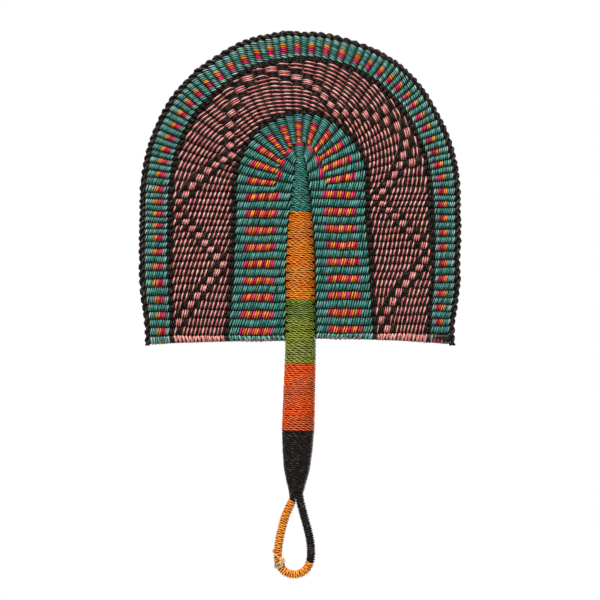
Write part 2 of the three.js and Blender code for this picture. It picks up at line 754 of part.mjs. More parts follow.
// Share of the loop's length at which its route crosses a height, on the right or the left leg.
function loopShareAt(z, side) {
  const steps = 2000;
  for (let i = 0; i < steps / 2; i += 1) {
    const share = side === RIGHT ? i / steps : 1 - i / steps;
    if (loopCurve.getPointAt(share).z < z) {
      return share;
    }
  }
  return 0.5;
}

// A flat strand wound round the loop. Its width follows the bend, so that its turns keep their gap.
function woundOnLoop(fromShare, toShare, innerRadius, pitch, thickness, gap) {
  const length = loopCurve.getLength() * (toShare - fromShare);
  const steps = Math.round(length / pitch * LOOP_STEPS_PER_TURN);
  const back = new THREE.Vector3(0, 1, 0);
  const rings = [];
  for (let step = 0; step <= steps; step += 1) {
    const share = lerp(fromShare, toShare, step / steps);
    const centre = loopCurve.getPointAt(share);
    const along = loopCurve.getTangentAt(share);
    const outward = along.clone().cross(back);
    const nudge = 0.004;
    const before = loopCurve.getTangentAt(Math.max(share - nudge, 0));
    const after = loopCurve.getTangentAt(Math.min(share + nudge, 1));
    const bend = after.clone().sub(before).dot(outward) / (2 * nudge * loopCurve.getLength());
    const angle = step * TAU / LOOP_STEPS_PER_TURN;
    const radial = outward.clone().multiplyScalar(Math.cos(angle)).addScaledVector(back, Math.sin(angle));
    const lean = bend * Math.cos(angle);
    const stretch = 1 - Math.max(lean * innerRadius, lean * (innerRadius + thickness));
    const halfWidth = (pitch * stretch - gap) / 2;
    const ring = [[0, 1], [0, -1], [1, -1], [1, 1]].map(([depth, edge]) => centre.clone()
      .addScaledVector(radial, innerRadius + depth * thickness)
      .addScaledVector(along, edge * halfWidth));
    rings.push(ring);
  }
  return rings;
}

function addLoopWindings() {
  const blackFrom = loopShareAt(LOOP_WINDING_TOP_Z, RIGHT);
  const blackTo = loopShareAt(LOOP_BLACK_TO_Z, RIGHT);
  const orangeTo = loopShareAt(LOOP_WINDING_TOP_Z, LEFT);
  const halfStrand = (LOOP_TURN_PITCH + CLEARANCE) / 2 / loopCurve.getLength();
  const radius = LOOP_CORE_RADIUS + LOOP_CLEARANCE;
  [
    ['Black_loop_winding', blackFrom, blackTo - halfStrand, BLACK],
    ['Orange_loop_winding', blackTo + halfStrand, orangeTo, LOOP_ORANGE],
  ].forEach(([name, from, to, colour]) => {
    const rings = woundOnLoop(from, to, radius, LOOP_TURN_PITCH, LOOP_STRAND_THICKNESS, LOOP_STRAND_GAP);
    console.log(`${name}: least gap between turns ${leastTurnGap(rings, LOOP_STEPS_PER_TURN).toFixed(2)} mm`);
    addPiece(name, leaned(loft(rings)), colour, 0.6);
  });
}

function addTie() {
  const radius = LOOP_CORE_RADIUS + LOOP_STRAND_THICKNESS + 2 * LOOP_CLEARANCE;
  const from = loopShareAt(TIE_TO_Z, LEFT);
  const to = loopShareAt(TIE_FROM_Z, LEFT);
  const rings = woundOnLoop(from, to, radius, TIE_PITCH, TIE_THICKNESS, LOOP_STRAND_GAP);
  console.log(`Straw_tie: least gap between turns ${leastTurnGap(rings, LOOP_STEPS_PER_TURN).toFixed(2)} mm`);
  addPiece('Straw_tie', leaned(loft(rings)), NATURAL_TIE, 0.75);

  const leg = loopCurve.getPointAt(loopShareAt(KNOT_Z, LEFT));
  const knot = new THREE.SphereGeometry(KNOT_RADIUS, 8, 6);
  knot.rotateX(Math.PI / 2);
  knot.translate(leg.x + radius + TIE_THICKNESS + CLEARANCE + KNOT_RADIUS, 0, leg.z);
  addPiece('Tie_knot', leaned(knot), NATURAL_TIE, 0.75);
}

addSpokes();
addBands();
addEdgeCord();
addHem('Left_hem', LEFT);
addHem('Right_hem', RIGHT);
addStemWindings();
addLoopCore();
addLoopWindings();
addTie();

export default fan;
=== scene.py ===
"""Finishes the woven hand fan: its weft rows, windings, edge cord, hems, loop and tie, strand by strand.

Metres, in the frame of the packed model: X across the blade, Y to its back and Z up along the handle.
"""

import math
import random
from collections import namedtuple
from itertools import accumulate

import bmesh
import bpy
import numpy as np
from mathutils import Matrix, Vector, noise


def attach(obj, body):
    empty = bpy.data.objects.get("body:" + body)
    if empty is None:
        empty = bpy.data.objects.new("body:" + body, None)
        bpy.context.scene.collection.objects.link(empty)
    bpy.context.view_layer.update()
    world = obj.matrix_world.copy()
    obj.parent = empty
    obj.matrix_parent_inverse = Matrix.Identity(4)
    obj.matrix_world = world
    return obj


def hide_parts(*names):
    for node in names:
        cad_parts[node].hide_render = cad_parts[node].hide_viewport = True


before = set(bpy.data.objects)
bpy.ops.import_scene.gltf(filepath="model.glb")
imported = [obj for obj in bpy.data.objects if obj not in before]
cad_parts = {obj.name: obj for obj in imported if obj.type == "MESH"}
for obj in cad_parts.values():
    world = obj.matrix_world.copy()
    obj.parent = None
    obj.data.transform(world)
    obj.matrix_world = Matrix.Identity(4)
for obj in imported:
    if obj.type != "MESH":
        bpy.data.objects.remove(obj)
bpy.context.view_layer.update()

bl_info = {
    "name": "Woven hand fan",
    "version": (1, 0, 0),
    "blender": (4, 5, 0),
    "location": "View3D > Sidebar > Hand fan",
    "description": "Weaves and winds the strands of a straw hand fan round its spokes",
    "category": "Object",
}

MM = 0.001
LEFT = -1
RIGHT = 1
TAU = 2 * math.pi

# The stem: spokes leave it one above another, and the winding passes between their necks
RIB_PITCH = 6.72 * MM
TOP_NECK_Z = 205.2 * MM
NECKS_PER_SIDE = 21
SHOULDER_NECKS = 4
RIGHT_STAGGER = RIB_PITCH / 4
NECK_HEIGHT = 2.3 * MM
STEM_SHOULDER_Z = TOP_NECK_Z - 0.7 * MM
STEM_TIP_RISE = 7.5 * MM
STEM_GAP = 0.45 * MM

# Outside of the wound stem and handle: height, half-width and half-depth
STEM_PROFILE = [tuple(size * MM for size in row) for row in (
    (212.0, 3.2, 3.2), (208.5, 3.6, 3.6), (200.0, 5.1, 4.8), (156.0, 10.1, 8.4), (127.4, 11.5, 9.4),
    (56.0, 12.4, 10.2), (-6.4, 13.2, 10.8), (-25.6, 12.0, 10.2), (-40.0, 10.4, 9.2), (-49.6, 8.0, 7.4),
    (-58.0, 5.9, 5.6), (-64.0, 5.0, 4.9),
)]

# The handle leans to the left below the blade, and the loop hangs back from there
HANDLE_LEAN = 3.6 * MM
LOOP_LEAN = 0.8 * MM
LEAN_FROM_Z = TOP_NECK_Z - 149.2 * MM
LEAN_TO_Z = -64.0 * MM
LOOP_SWAY_LENGTH = 40.0 * MM

# Half-widths of the bands on the straight sides of the blade, from the stem out to the edge
INNER_BAND_TO = 52.0 * MM
RING_WIDTH = 3.7 * MM
MIDDLE_BAND_WIDTH = 45.4 * MM
OUTER_BAND_WIDTH = 17.2 * MM
BAND_GAP = 0.3 * MM
RING_FROM = INNER_BAND_TO + BAND_GAP
MIDDLE_FROM = RING_FROM + RING_WIDTH + BAND_GAP
OUTER_RING_FROM = MIDDLE_FROM + MIDDLE_BAND_WIDTH + BAND_GAP
OUTER_FROM = OUTER_RING_FROM + RING_WIDTH + BAND_GAP
BLADE_EDGE = OUTER_FROM + OUTER_BAND_WIDTH

# The middle of the blade, a little to the left of the stem
BLADE_SHIFT = -0.8 * MM

# The arch of the rows, and how they spread and draw in at the foot
ARCH_CENTRE_Z = TOP_NECK_Z - 7.6 * MM
ARCH_CENTRE_DROP = 21.6 * MM
ARCH_EXTRA_RISE = 6.6 * MM
ARCH_DROP_FROM = 10.4 * MM
ARCH_DROP_TO = 128.0 * MM
FOOT_SPREAD = 4.0 * MM
FOOT_SPREAD_AT = 50.0 * MM
FOOT_DRAW_IN_RATE = 0.113
FOOT_HEIGHT = 48.0 * MM

# Edge cord and hems
EDGE_CORD_CENTRE = BLADE_EDGE + 3.0 * MM
HEM_DROP_AT_STEM = 4.6 * MM
HEM_DROP_AT_CORNER = 7.4 * MM
RIGHT_HEM_RISE = 1.8 * MM

# Ribs up each side and over the arch. At the stem those of the arch run together, two or three to a neck
Ribs = namedtuple("Ribs", "side arch taper")
INNER_RIBS = Ribs(17, 23, 0.0)
RIBS_AT_NECKS = (2, 2, 3, 3, 3, 3, 3, 2, 2)
NECK_ROWS = 7
MIDDLE_RIBS = Ribs(19, 34, 0.1)
OUTER_RIBS = Ribs(21, 66, 0.2)

# How the ribs drift along the rows of a hand-made weave: rib counted off, and where it comes to lie
MIDDLE_DRIFT = (
    (0, 5, 10, 15, 19, 24, 28, 30.5, 33.5, 36.5, 41, 45, 48.5, 51.5, 54.5, 58, 63, 67, 72),
    (0, 5.35, 10.5, 15.2, 19.2, 23.5, 27.55, 30.15, 33.5, 37.0, 41.75, 45.6, 48.8, 51.35, 53.95, 57.25,
     62.15, 66.35, 72),
)
OUTER_DRIFT = (
    (0, 4.5, 10.5, 16.5, 22.5, 28.5, 34.5, 40.5, 44.5, 54.5, 60.5, 64.5, 72.5, 80.5, 85.5, 96.5, 99.5, 106),
    (0, 4.5, 11.4, 17.3, 23.7, 29.2, 35.0, 40.9, 45.6, 55.9, 63.1, 67.0, 73.8, 81.5, 86.0, 98.7, 102.0, 108),
)
OUTER_BAND_RIBS = 106

# How far out the rows stray at both ends of the salmon band and at the edge: share of the way round the
# blade, and millimetres
INNER_STRAY = (
    (0, 0.1, 0.16, 0.21, 0.27, 0.38, 0.44, 0.5, 0.6, 0.66, 0.77, 0.82, 0.88, 1),
    (0, 0.6, -0.3, -1.2, -1.9, -3.1, -1.1, 0.4, 0.8, 0.5, 0.2, 2.0, 4.0, 2.7),
)
MIDDLE_STRAY = (
    (0, 0.1, 0.16, 0.21, 0.27, 0.32, 0.38, 0.43, 0.49, 0.55, 0.6, 0.66, 0.71, 0.77, 0.82, 0.88, 0.94, 1),
    (-0.1, 0.1, -0.7, -0.9, -1.0, -1.3, -2.6, -0.7, -1.2, 0.4, 0.7, 0.8, 0.5, 0.1, 1.3, 3.5, 2.0, 1.6),
)
EDGE_STRAY = (
    (0, 0.1, 0.21, 0.28, 0.32, 0.38, 0.44, 0.5, 0.56, 0.61, 0.66, 0.71, 0.8, 0.9, 1),
    (-0.2, 0.1, -0.7, 0.1, 1.0, 0.3, 1.1, -0.4, 0.6, 3.0, 3.1, 1.3, 0.9, 0.4, 0.4),
)
STRAY_AT = (56.0 * MM, 104.0 * MM, 124.0 * MM)

# Weft rows of each band
INNER_ROWS = 23
RING_ROWS = 2
MIDDLE_ROWS = 26
OUTER_ROWS = 11

# The zigzag of the salmon band: ribs, from 1 at the left foot, on which it reaches furthest in
ZIGZAG_PEAKS = (9, 25, 41, 55, 71)
ZIGZAG_DEPTH = 7
ZIGZAG_FROM_ROW = 1
BLOCK_ROWS = 3
SLIP_RIBS = (45, 51)
SLIP_BLOCK = 1

# Hanging loop, with its route in millimetres
LOOP_WOUND_RADIUS = 3.6 * MM
LOOP_TOP_Z = -64.0 * MM
LOOP_BLACK_TO_Z = -113.0 * MM
TIE_FROM_Z = -104.0 * MM
TIE_TO_Z = -117.0 * MM
KNOT_Z = -110.0 * MM
LOOP_ROUTE = [
    (2.3, -54.5), (2.4, -60), (4.1, -68), (6.3, -80), (8.2, -91.5), (9.1, -102), (8.75, -111.7),
    (5.76, -118.96), (0.25, -122.8), (-6.46, -123.4), (-12.56, -120.56), (-16.4, -115),
    (-17.3, -106.5), (-16.1, -97), (-13.1, -87), (-9.5, -77.5), (-5.3, -69), (-1.9, -61.4), (-1.9, -54.5),
]


def srgb(red, green, blue):
    """A colour as it looks on screen, 0 to 255, as the linear values that a material takes."""
    def linear(level):
        share = level / 255
        return share / 12.92 if share <= 0.04045 else ((share + 0.055) / 1.055) ** 2.4

    return (linear(red), linear(green), linear(blue))


# Settings

class FanWeaveSettings(bpy.types.PropertyGroup):
    """Sizes of the woven blade."""

    relief: bpy.props.FloatProperty(
        name="Relief", description="Half-thickness of the blade at the middle of a rib",
        default=2.9 * MM, unit="LENGTH", precision=4)
    roundness: bpy.props.FloatProperty(
        name="Roundness", description="Thickness of a weft strand as a share of its width",
        default=0.78, subtype="FACTOR", max=1.0)
    strand_fill: bpy.props.FloatProperty(
        name="Strand fill", description="Width of a weft strand as a share of the row pitch",
        default=0.82, subtype="FACTOR", max=1.5)
    slant: bpy.props.FloatProperty(
        name="Slant", description="Fall of a stroke over one rib as a share of the row pitch",
        default=0.85, subtype="FACTOR", max=1.5)
    unevenness: bpy.props.FloatProperty(
        name="Unevenness", description="How much the strands vary in width, height and place",
        default=1.0, subtype="FACTOR", max=2.0)
    steps_per_rib: bpy.props.IntProperty(
        name="Steps per rib", description="Rings of vertices along a strand over one rib", default=6)


class FanWindingSettings(bpy.types.PropertyGroup):
    """Sizes of the windings on the stem, handle and loop."""

    turns_per_rib: bpy.props.IntProperty(
        name="Turns per rib", description="Turns of the winding between two necks of one side", default=4)
    ply_radius: bpy.props.FloatProperty(
        name="Ply radius", description="Radius of each of the two plies of the strand",
        default=0.41 * MM, unit="LENGTH", precision=5)
    ply_offset: bpy.props.FloatProperty(
        name="Ply offset", description="Distance of a ply from the middle of the strand",
        default=0.46 * MM, unit="LENGTH", precision=5)
    lay: bpy.props.FloatProperty(
        name="Lay", description="Length in which the two plies twist once round each other",
        default=10.0 * MM, unit="LENGTH", precision=4)
    loop_pitch: bpy.props.FloatProperty(
        name="Loop pitch", description="Distance between turns on the hanging loop",
        default=1.85 * MM, unit="LENGTH", precision=4)
    loop_ply: bpy.props.FloatProperty(
        name="Loop ply", description="Radius of the loop's plies as a share of the stem's",
        default=1.4, subtype="FACTOR", max=2.0)


class FanColourSettings(bpy.types.PropertyGroup):
    """Dyes of the straw."""

    teal: bpy.props.FloatVectorProperty(
        name="Teal", description="Weft of the inner and outer bands", subtype="COLOR",
        default=srgb(10, 142, 132))
    mint: bpy.props.FloatVectorProperty(
        name="Mint", description="Teal straw that took less dye", subtype="COLOR",
        default=srgb(184, 222, 204))
    pink: bpy.props.FloatVectorProperty(
        name="Pink", description="Checks of the inner and outer bands", subtype="COLOR",
        default=srgb(226, 24, 84))
    orange: bpy.props.FloatVectorProperty(
        name="Orange", description="Checks of the inner and outer bands", subtype="COLOR",
        default=srgb(255, 138, 32))
    salmon: bpy.props.FloatVectorProperty(
        name="Salmon", description="Weft of the middle band", subtype="COLOR",
        default=srgb(244, 118, 112))
    black: bpy.props.FloatVectorProperty(
        name="Black", description="Rings, edge cord and ground of the middle band", subtype="COLOR",
        default=srgb(11, 7, 6))
    winding_teal: bpy.props.FloatVectorProperty(
        name="Winding teal", description="Topmost stem winding", subtype="COLOR",
        default=srgb(8, 108, 100))
    winding_orange: bpy.props.FloatVectorProperty(
        name="Winding orange", description="Stem winding in the blade, and the loop", subtype="COLOR",
        default=srgb(255, 124, 20))
    dark_green: bpy.props.FloatVectorProperty(
        name="Dark green", description="Stem winding near the foot of the blade", subtype="COLOR",
        default=srgb(116, 146, 42))
    light_green: bpy.props.FloatVectorProperty(
        name="Light green", description="Stem winding below the blade", subtype="COLOR",
        default=srgb(148, 164, 46))
    red_orange: bpy.props.FloatVectorProperty(
        name="Red orange", description="Winding of the grip", subtype="COLOR",
        default=srgb(255, 72, 22))
    # Only the tie takes this colour; the spokes and the loop's core take the painted shade straw colour below
    straw: bpy.props.FloatVectorProperty(
        name="Straw", description="Undyed straw of the spokes, core and tie", subtype="COLOR",
        default=srgb(205, 160, 110))
    # A dark copy of the straw colour: painted shade for the spokes inside the weave and for the layers under
    # the windings
    shaded_straw: bpy.props.FloatVectorProperty(
        name="Shaded straw", description="Undyed straw of the spokes inside the weave", subtype="COLOR",
        default=srgb(42, 36, 25))


class FanStageSettings(bpy.types.PropertyGroup):
    """Floor, lights and camera."""

    floor_z: bpy.props.FloatProperty(
        name="Floor height", description="Height of the floor below the fan",
        default=-0.2, unit="LENGTH")
    floor_radius: bpy.props.FloatProperty(
        name="Floor radius", description="Radius of the round floor",
        default=0.36, unit="LENGTH")
    key_power: bpy.props.FloatProperty(
        name="Key light", description="Power of the soft light above the front", default=60.0, unit="POWER")
    fill_power: bpy.props.FloatProperty(
        name="Fill light", description="Power of the soft light from the camera's side",
        default=4.0, unit="POWER")
    back_power: bpy.props.FloatProperty(
        name="Back light", description="Power of the soft light behind the fan", default=26.0, unit="POWER")
    lens: bpy.props.FloatProperty(
        name="Lens", description="Focal length of the camera in millimetres", default=150.0)
    distance: bpy.props.FloatProperty(
        name="Distance", description="Distance of the camera from the blade", default=2.0, unit="LENGTH")
    eye_z: bpy.props.FloatProperty(
        name="Eye height", description="Height of the camera", default=0.096, unit="LENGTH", precision=4)
    eye_x: bpy.props.FloatProperty(
        name="Eye offset", description="How far to the right of the stem the camera stands",
        default=-0.0004, unit="LENGTH", precision=4)


# Shader nodes

class Wire:
    """A socket of a node, with arithmetic that adds Math nodes."""

    def __init__(self, paint, socket):
        self.paint = paint
        self.socket = socket

    def _math(self, operation, first, second):
        return self.paint.node("ShaderNodeMath", {"operation": operation}, {0: first, 1: second})

    def __add__(self, other):
        return self._math("ADD", self, other)

    __radd__ = __add__

    def __mul__(self, other):
        return self._math("MULTIPLY", self, other)

    __rmul__ = __mul__


# How strongly the fibres stand out in the light, and how far
RELIEF_STRENGTH = 0.4
RELIEF_DEPTH = 0.2 * MM


class Paint:
    """Builds the nodes of one material, or of the world."""

    def __init__(self, owner):
        owner.use_nodes = True
        self.owner = owner
        self.tree = owner.node_tree
        self.tree.nodes.clear()

    def node(self, kind, settings=None, inputs=None, output=0):
        node = self.tree.nodes.new(kind)
        for key, value in (settings or {}).items():
            setattr(node, key, value)
        for key, value in (inputs or {}).items():
            if isinstance(value, Wire):
                self.tree.links.new(value.socket, node.inputs[key])
            else:
                node.inputs[key].default_value = value
        return Wire(self, node.outputs[output]) if node.outputs else None

    def mix(self, factor, first, second):
        colours = [c if isinstance(c, Wire) else (*c, 1.0) for c in (first, second)]
        return self.node(
            "ShaderNodeMix", {"data_type": "RGBA", "clamp_factor": True},
            {0: factor, 6: colours[0], 7: colours[1]}, output=2)

    def ramp(self, value, low, high):
        """0 at the low value and 1 at the high one, clamped."""
        return self.node(
            "ShaderNodeMapRange", {"clamp": True}, {"Value": value, "From Min": low, "From Max": high})

    def noise(self, vector, scale=1.0, detail=2.0):
        return self.node(
            "ShaderNodeTexNoise", {}, {"Vector": vector, "Scale": scale, "Detail": detail})

    def vector(self, x, y, z):
        return self.node("ShaderNodeCombineXYZ", {}, {0: x, 1: y, 2: z})

    def finish(self, base, roughness, relief=None, specular=0.5):
        inputs = {"Base Color": base, "Roughness": roughness, "Specular IOR Level": specular}
        if relief:
            inputs["Normal"] = self.node("ShaderNodeBump", {}, {
                "Height": relief, "Strength": RELIEF_STRENGTH, "Distance": RELIEF_DEPTH})
        shader = self.node("ShaderNodeBsdfPrincipled", {}, inputs)
        self.node("ShaderNodeOutputMaterial", {}, {"Surface": shader})
        return self.owner


def tinted(colour, other, share):
    return tuple(a + (b - a) * share for a, b in zip(colour, other))


def dimmed(colour, share):
    return tuple(c * share for c in colour)


# Fibres of a dyed strand to the metre and round it, and its patches of dye to the metre
FIBRES_ALONG = 260
FIBRES_ROUND = 8
PATCHES_ALONG = 70

# Painted shade of a dye: how dark it gets in its fibre grooves and under other strands, and how much deeper
# its hue is there
PAINTED_SHADE_DEPTH = 0.3
PAINTED_SHADE_HUE_POWER = 1.5
UNDER_PAINTED_SHADE_DEPTH = 0.4
STRAW_GLOSS = 0.1


def strand_straw(name, colour, pale, dullest, lightest, streaks):
    """Dyed straw strand: streaks along its fibres, slow changes of dye, pale stretches and painted shade."""
    paint = Paint(bpy.data.materials.new(name))
    uv = paint.node("ShaderNodeUVMap", {"uv_map": "UVMap"})
    around = paint.node("ShaderNodeSeparateXYZ", {}, {0: uv})
    along, tone, fade, shade = [
        paint.node("ShaderNodeAttribute", {"attribute_name": label}, output="Fac")
        for label in ("along", "tone", "fade", "shade")]
    fibre = paint.noise(paint.vector(along * FIBRES_ALONG, around * FIBRES_ROUND, tone * 43))
    patch = paint.noise(paint.vector(along * PATCHES_ALONG, tone * 57, 0.0))
    # The painted shade colour: darker than the dye, and of a deeper hue
    painted_shade_colour = tuple(PAINTED_SHADE_DEPTH * c ** PAINTED_SHADE_HUE_POWER for c in colour)
    light = tinted(colour, pale, lightest)
    dyed = paint.mix(paint.ramp(patch * 0.5 + tone * 0.7, 0.25, 0.9), dimmed(colour, dullest), light)
    streaked = paint.mix(paint.ramp(fibre, 0.52, 0.78) * streaks, dyed, pale)
    faded = paint.mix(fade * (0.6 + patch * 0.6), streaked, pale)
    # Darker in the fibre grooves: the fibre grain, with painted shade in the grooves
    grain_and_painted_groove_shade = paint.mix(paint.ramp(fibre, 0.48, 0.22) * 0.8, faded, painted_shade_colour)
    # Painted shade from the strand's own attribute: darker at its stroke ends, flanks and ply undersides
    with_painted_shade = paint.mix(shade * 0.9, grain_and_painted_groove_shade, dimmed(painted_shade_colour, UNDER_PAINTED_SHADE_DEPTH))
    return paint.finish(with_painted_shade, 0.3 + fibre * 0.2, fibre, specular=STRAW_GLOSS)


def bundled_straw(name, colour):
    """Straw of the spokes and the loop's core, in the colour given: fine streaks along Z."""
    paint = Paint(bpy.data.materials.new(name))
    place = paint.node("ShaderNodeTexCoord", output="Object")
    stretched = paint.node(
        "ShaderNodeMapping", {}, {"Vector": place, "Scale": (900.0, 900.0, 160.0)})
    streak = paint.noise(stretched, detail=3.0)
    base = paint.mix(paint.ramp(streak, 0.35, 0.7), dimmed(colour, 0.45), colour)
    return paint.finish(base, 0.6 + streak * 0.2, streak, specular=0.2)


# The rows of the blade

def lerp(a, b, t):
    return a + (b - a) * t


def clamp(value, low=0.0, high=1.0):
    return max(low, min(high, value))


def shares(count):
    """Even steps from 0 to 1."""
    return [step / count for step in range(count + 1)]


def wander(x, y, z):
    """A smooth random value between -1 and 1 that changes over about one unit."""
    return noise.noise(Vector((x, y, z)))


def stem_size(z):
    """Half-width and half-depth of the wound stem at a height."""
    row = 1
    while row < len(STEM_PROFILE) - 1 and z < STEM_PROFILE[row][0]:
        row += 1
    z0, width0, depth0 = STEM_PROFILE[row - 1]
    z1, width1, depth1 = STEM_PROFILE[row]
    t = clamp((z0 - z) / (z0 - z1))
    return lerp(width0, width1, t), lerp(depth0, depth1, t)


def smoothstep(value, low, high):
    share = clamp((value - low) / (high - low))
    return share * share * (3 - 2 * share)


def lean_at(z):
    """How far to the left everything lies at a height, from the foot of the blade down."""
    if z > LEAN_TO_Z:
        return HANDLE_LEAN * clamp((LEAN_FROM_Z - z) / (LEAN_FROM_Z - LEAN_TO_Z))
    return lerp(HANDLE_LEAN, LOOP_LEAN, smoothstep(LEAN_TO_Z - z, 0, LOOP_SWAY_LENGTH))


def neck_z(side, neck):
    return TOP_NECK_Z - neck * RIB_PITCH + (RIGHT_STAGGER if side == RIGHT else 0)


def foot_z(side):
    return neck_z(side, NECKS_PER_SIDE - 1) - RIB_PITCH / 2


def shoulder_z(side):
    return neck_z(side, SHOULDER_NECKS - 1) - RIB_PITCH / 2


def arch_share(half_width):
    """Where a row lies between the innermost one, at 0, and the edge of the blade, at 1."""
    return (half_width - ARCH_DROP_FROM) / (ARCH_DROP_TO - ARCH_DROP_FROM)


def foot_shift(half_width, z):
    """How far a row moves out sideways near the foot of the blade."""
    height = clamp((z - foot_z(LEFT)) / FOOT_HEIGHT)
    share = math.cos(height * math.pi / 2) ** 2
    stem_half = stem_size(foot_z(LEFT))[0]
    inner = FOOT_SPREAD * (half_width - stem_half) / (FOOT_SPREAD_AT - stem_half)
    outer = FOOT_SPREAD - FOOT_DRAW_IN_RATE * (half_width - FOOT_SPREAD_AT)
    return share * min(inner, outer)


def climbed_by(ribs, count, side):
    """Height above the foot after a number of ribs up one side."""
    share = count / ribs.side
    return (shoulder_z(side) - foot_z(side)) * (share + ribs.taper * share * (1 - share))


def rib_total(ribs):
    return ribs.side * 2 + ribs.arch


def side_of(ribs, at):
    if at <= ribs.side:
        return LEFT
    return RIGHT if at >= rib_total(ribs) - ribs.side else 0


def side_height(ribs, at, side):
    count = at if side == LEFT else rib_total(ribs) - at
    return foot_z(side) + climbed_by(ribs, count, side)


def row_point(ribs, half_width, at):
    """A point of a row, by ribs passed from the left foot, over the arch, to the right foot."""
    side = side_of(ribs, at)
    if side:
        z = side_height(ribs, at, side)
        return Vector((BLADE_SHIFT + side * (half_width + foot_shift(half_width, z)), z))
    centre_z = ARCH_CENTRE_Z - ARCH_CENTRE_DROP * arch_share(half_width)
    arch_rise = half_width + ARCH_EXTRA_RISE * arch_share(half_width)
    mean_radius = (half_width + arch_rise) / 2
    left_rise = centre_z - shoulder_z(LEFT)
    right_rise = centre_z - shoulder_z(RIGHT)
    length = left_rise + math.pi * mean_radius + right_rise
    travel = length * (at - ribs.side) / ribs.arch
    if travel < left_rise:
        return Vector((BLADE_SHIFT - half_width, shoulder_z(LEFT) + travel))
    if travel > length - right_rise:
        return Vector((BLADE_SHIFT + half_width, shoulder_z(RIGHT) + length - travel))
    angle = math.pi - (travel - left_rise) / mean_radius
    return Vector((BLADE_SHIFT + half_width * math.cos(angle), centre_z + arch_rise * math.sin(angle)))


class Line:
    """A line through points, measured along its length."""

    def __init__(self, points):
        self.points = points
        self.lengths = [0.0]
        for before, after in zip(points, points[1:]):
            self.lengths.append(self.lengths[-1] + (after - before).length)
        self.length = self.lengths[-1]

    def at(self, distance):
        distance = clamp(distance, 0.0, self.length)
        leg = int(np.searchsorted(self.lengths, distance, side="left"))
        leg = max(1, min(leg, len(self.points) - 1))
        share = (distance - self.lengths[leg - 1]) / (self.lengths[leg] - self.lengths[leg - 1])
        return self.points[leg - 1].lerp(self.points[leg], share)

    def tangent(self, distance, reach):
        return (self.at(distance + reach) - self.at(distance - reach)).normalized()


def stem_edge_line(gap):
    """The innermost row's edge: it follows the stem and closes over its tip."""
    tip_half = stem_size(STEM_SHOULDER_Z)[0] + gap
    arc_steps = 8
    path = []
    for side in (LEFT, RIGHT):
        half = [Vector((side * (stem_size(shoulder_z(side))[0] + gap), shoulder_z(side)))]
        for z, width, _ in STEM_PROFILE:
            if shoulder_z(side) < z < STEM_SHOULDER_Z:
                half.append(Vector((side * (width + gap), z)))
        for step in range(arc_steps):
            angle = step * math.pi / (2 * arc_steps)
            rise = (STEM_TIP_RISE + gap) * math.sin(angle)
            half.append(Vector((side * tip_half * math.cos(angle), STEM_SHOULDER_Z + rise)))
        path += half if side == LEFT else [Vector((0, STEM_SHOULDER_Z + STEM_TIP_RISE + gap))] + half[::-1]
    return Line(path)


STEM_EDGE = stem_edge_line(STEM_GAP)


def stem_edge_point(ribs, at):
    side = side_of(ribs, at)
    if side:
        z = side_height(ribs, at, side)
        return Vector((side * (stem_size(z)[0] + STEM_GAP), z))
    neck_ends = np.cumsum((0,) + RIBS_AT_NECKS)
    share = np.interp(at - ribs.side, neck_ends, np.linspace(0, 1, len(neck_ends)))
    return STEM_EDGE.at(STEM_EDGE.length * share)


# Length over which the ribs and rows wander
SWAY_LENGTH = 24 * MM


def swayed(point):
    """A point of the blade, moved a little as the ribs and rows of a hand-made weave wander."""
    place = Vector((point.x, point.y, 0)) / SWAY_LENGTH
    across = noise.noise(place) * 0.55 + noise.noise(place * 3.1) * 0.25
    along = noise.noise(place + Vector((9, 4, 2))) * 0.9 + noise.noise(place * 2.7 + Vector((3, 1, 5))) * 0.5
    return point + Vector((across, along)) * MM


def strayed(half_width, share):
    """The half-width at which a hand-woven row really lies, by share of the way round the blade."""
    strays = [np.interp(share, *stray) for stray in (INNER_STRAY, MIDDLE_STRAY, EDGE_STRAY)]
    return half_width + MM * float(np.interp(half_width, STRAY_AT, strays))


class Band:
    """A zone of weft rows, counted from its outer edge. Its ends are where each of its ribs comes to lie."""

    def __init__(self, ribs, rows, inner_from, outer_to, ends):
        self.ribs = ribs
        self.rows = rows
        self.ends = ends
        self.total = len(self.ends) - 1
        self.inner_from = inner_from
        self.outer_to = outer_to

    def passed(self, at):
        """Ribs passed on the model's even count, from the left foot, also a little beyond the feet."""
        beyond = min(at, 0) + max(at - self.total, 0)
        return float(np.interp(at, range(self.total + 1), self.ends)) + beyond

    def place(self, row, at):
        """Middle of a row, the direction outwards and the row pitch there."""
        ribs_passed = self.passed(at)
        share = ribs_passed / rib_total(self.ribs)
        outer = row_point(self.ribs, strayed(self.outer_to, share), ribs_passed)
        if self.inner_from is None:
            inner = stem_edge_point(self.ribs, ribs_passed)
        else:
            inner = row_point(self.ribs, strayed(self.inner_from, share), ribs_passed)
        across = outer - inner
        middle = swayed(outer - across * ((row + 0.5) / self.rows))
        return middle, across.normalized(), across.length / self.rows


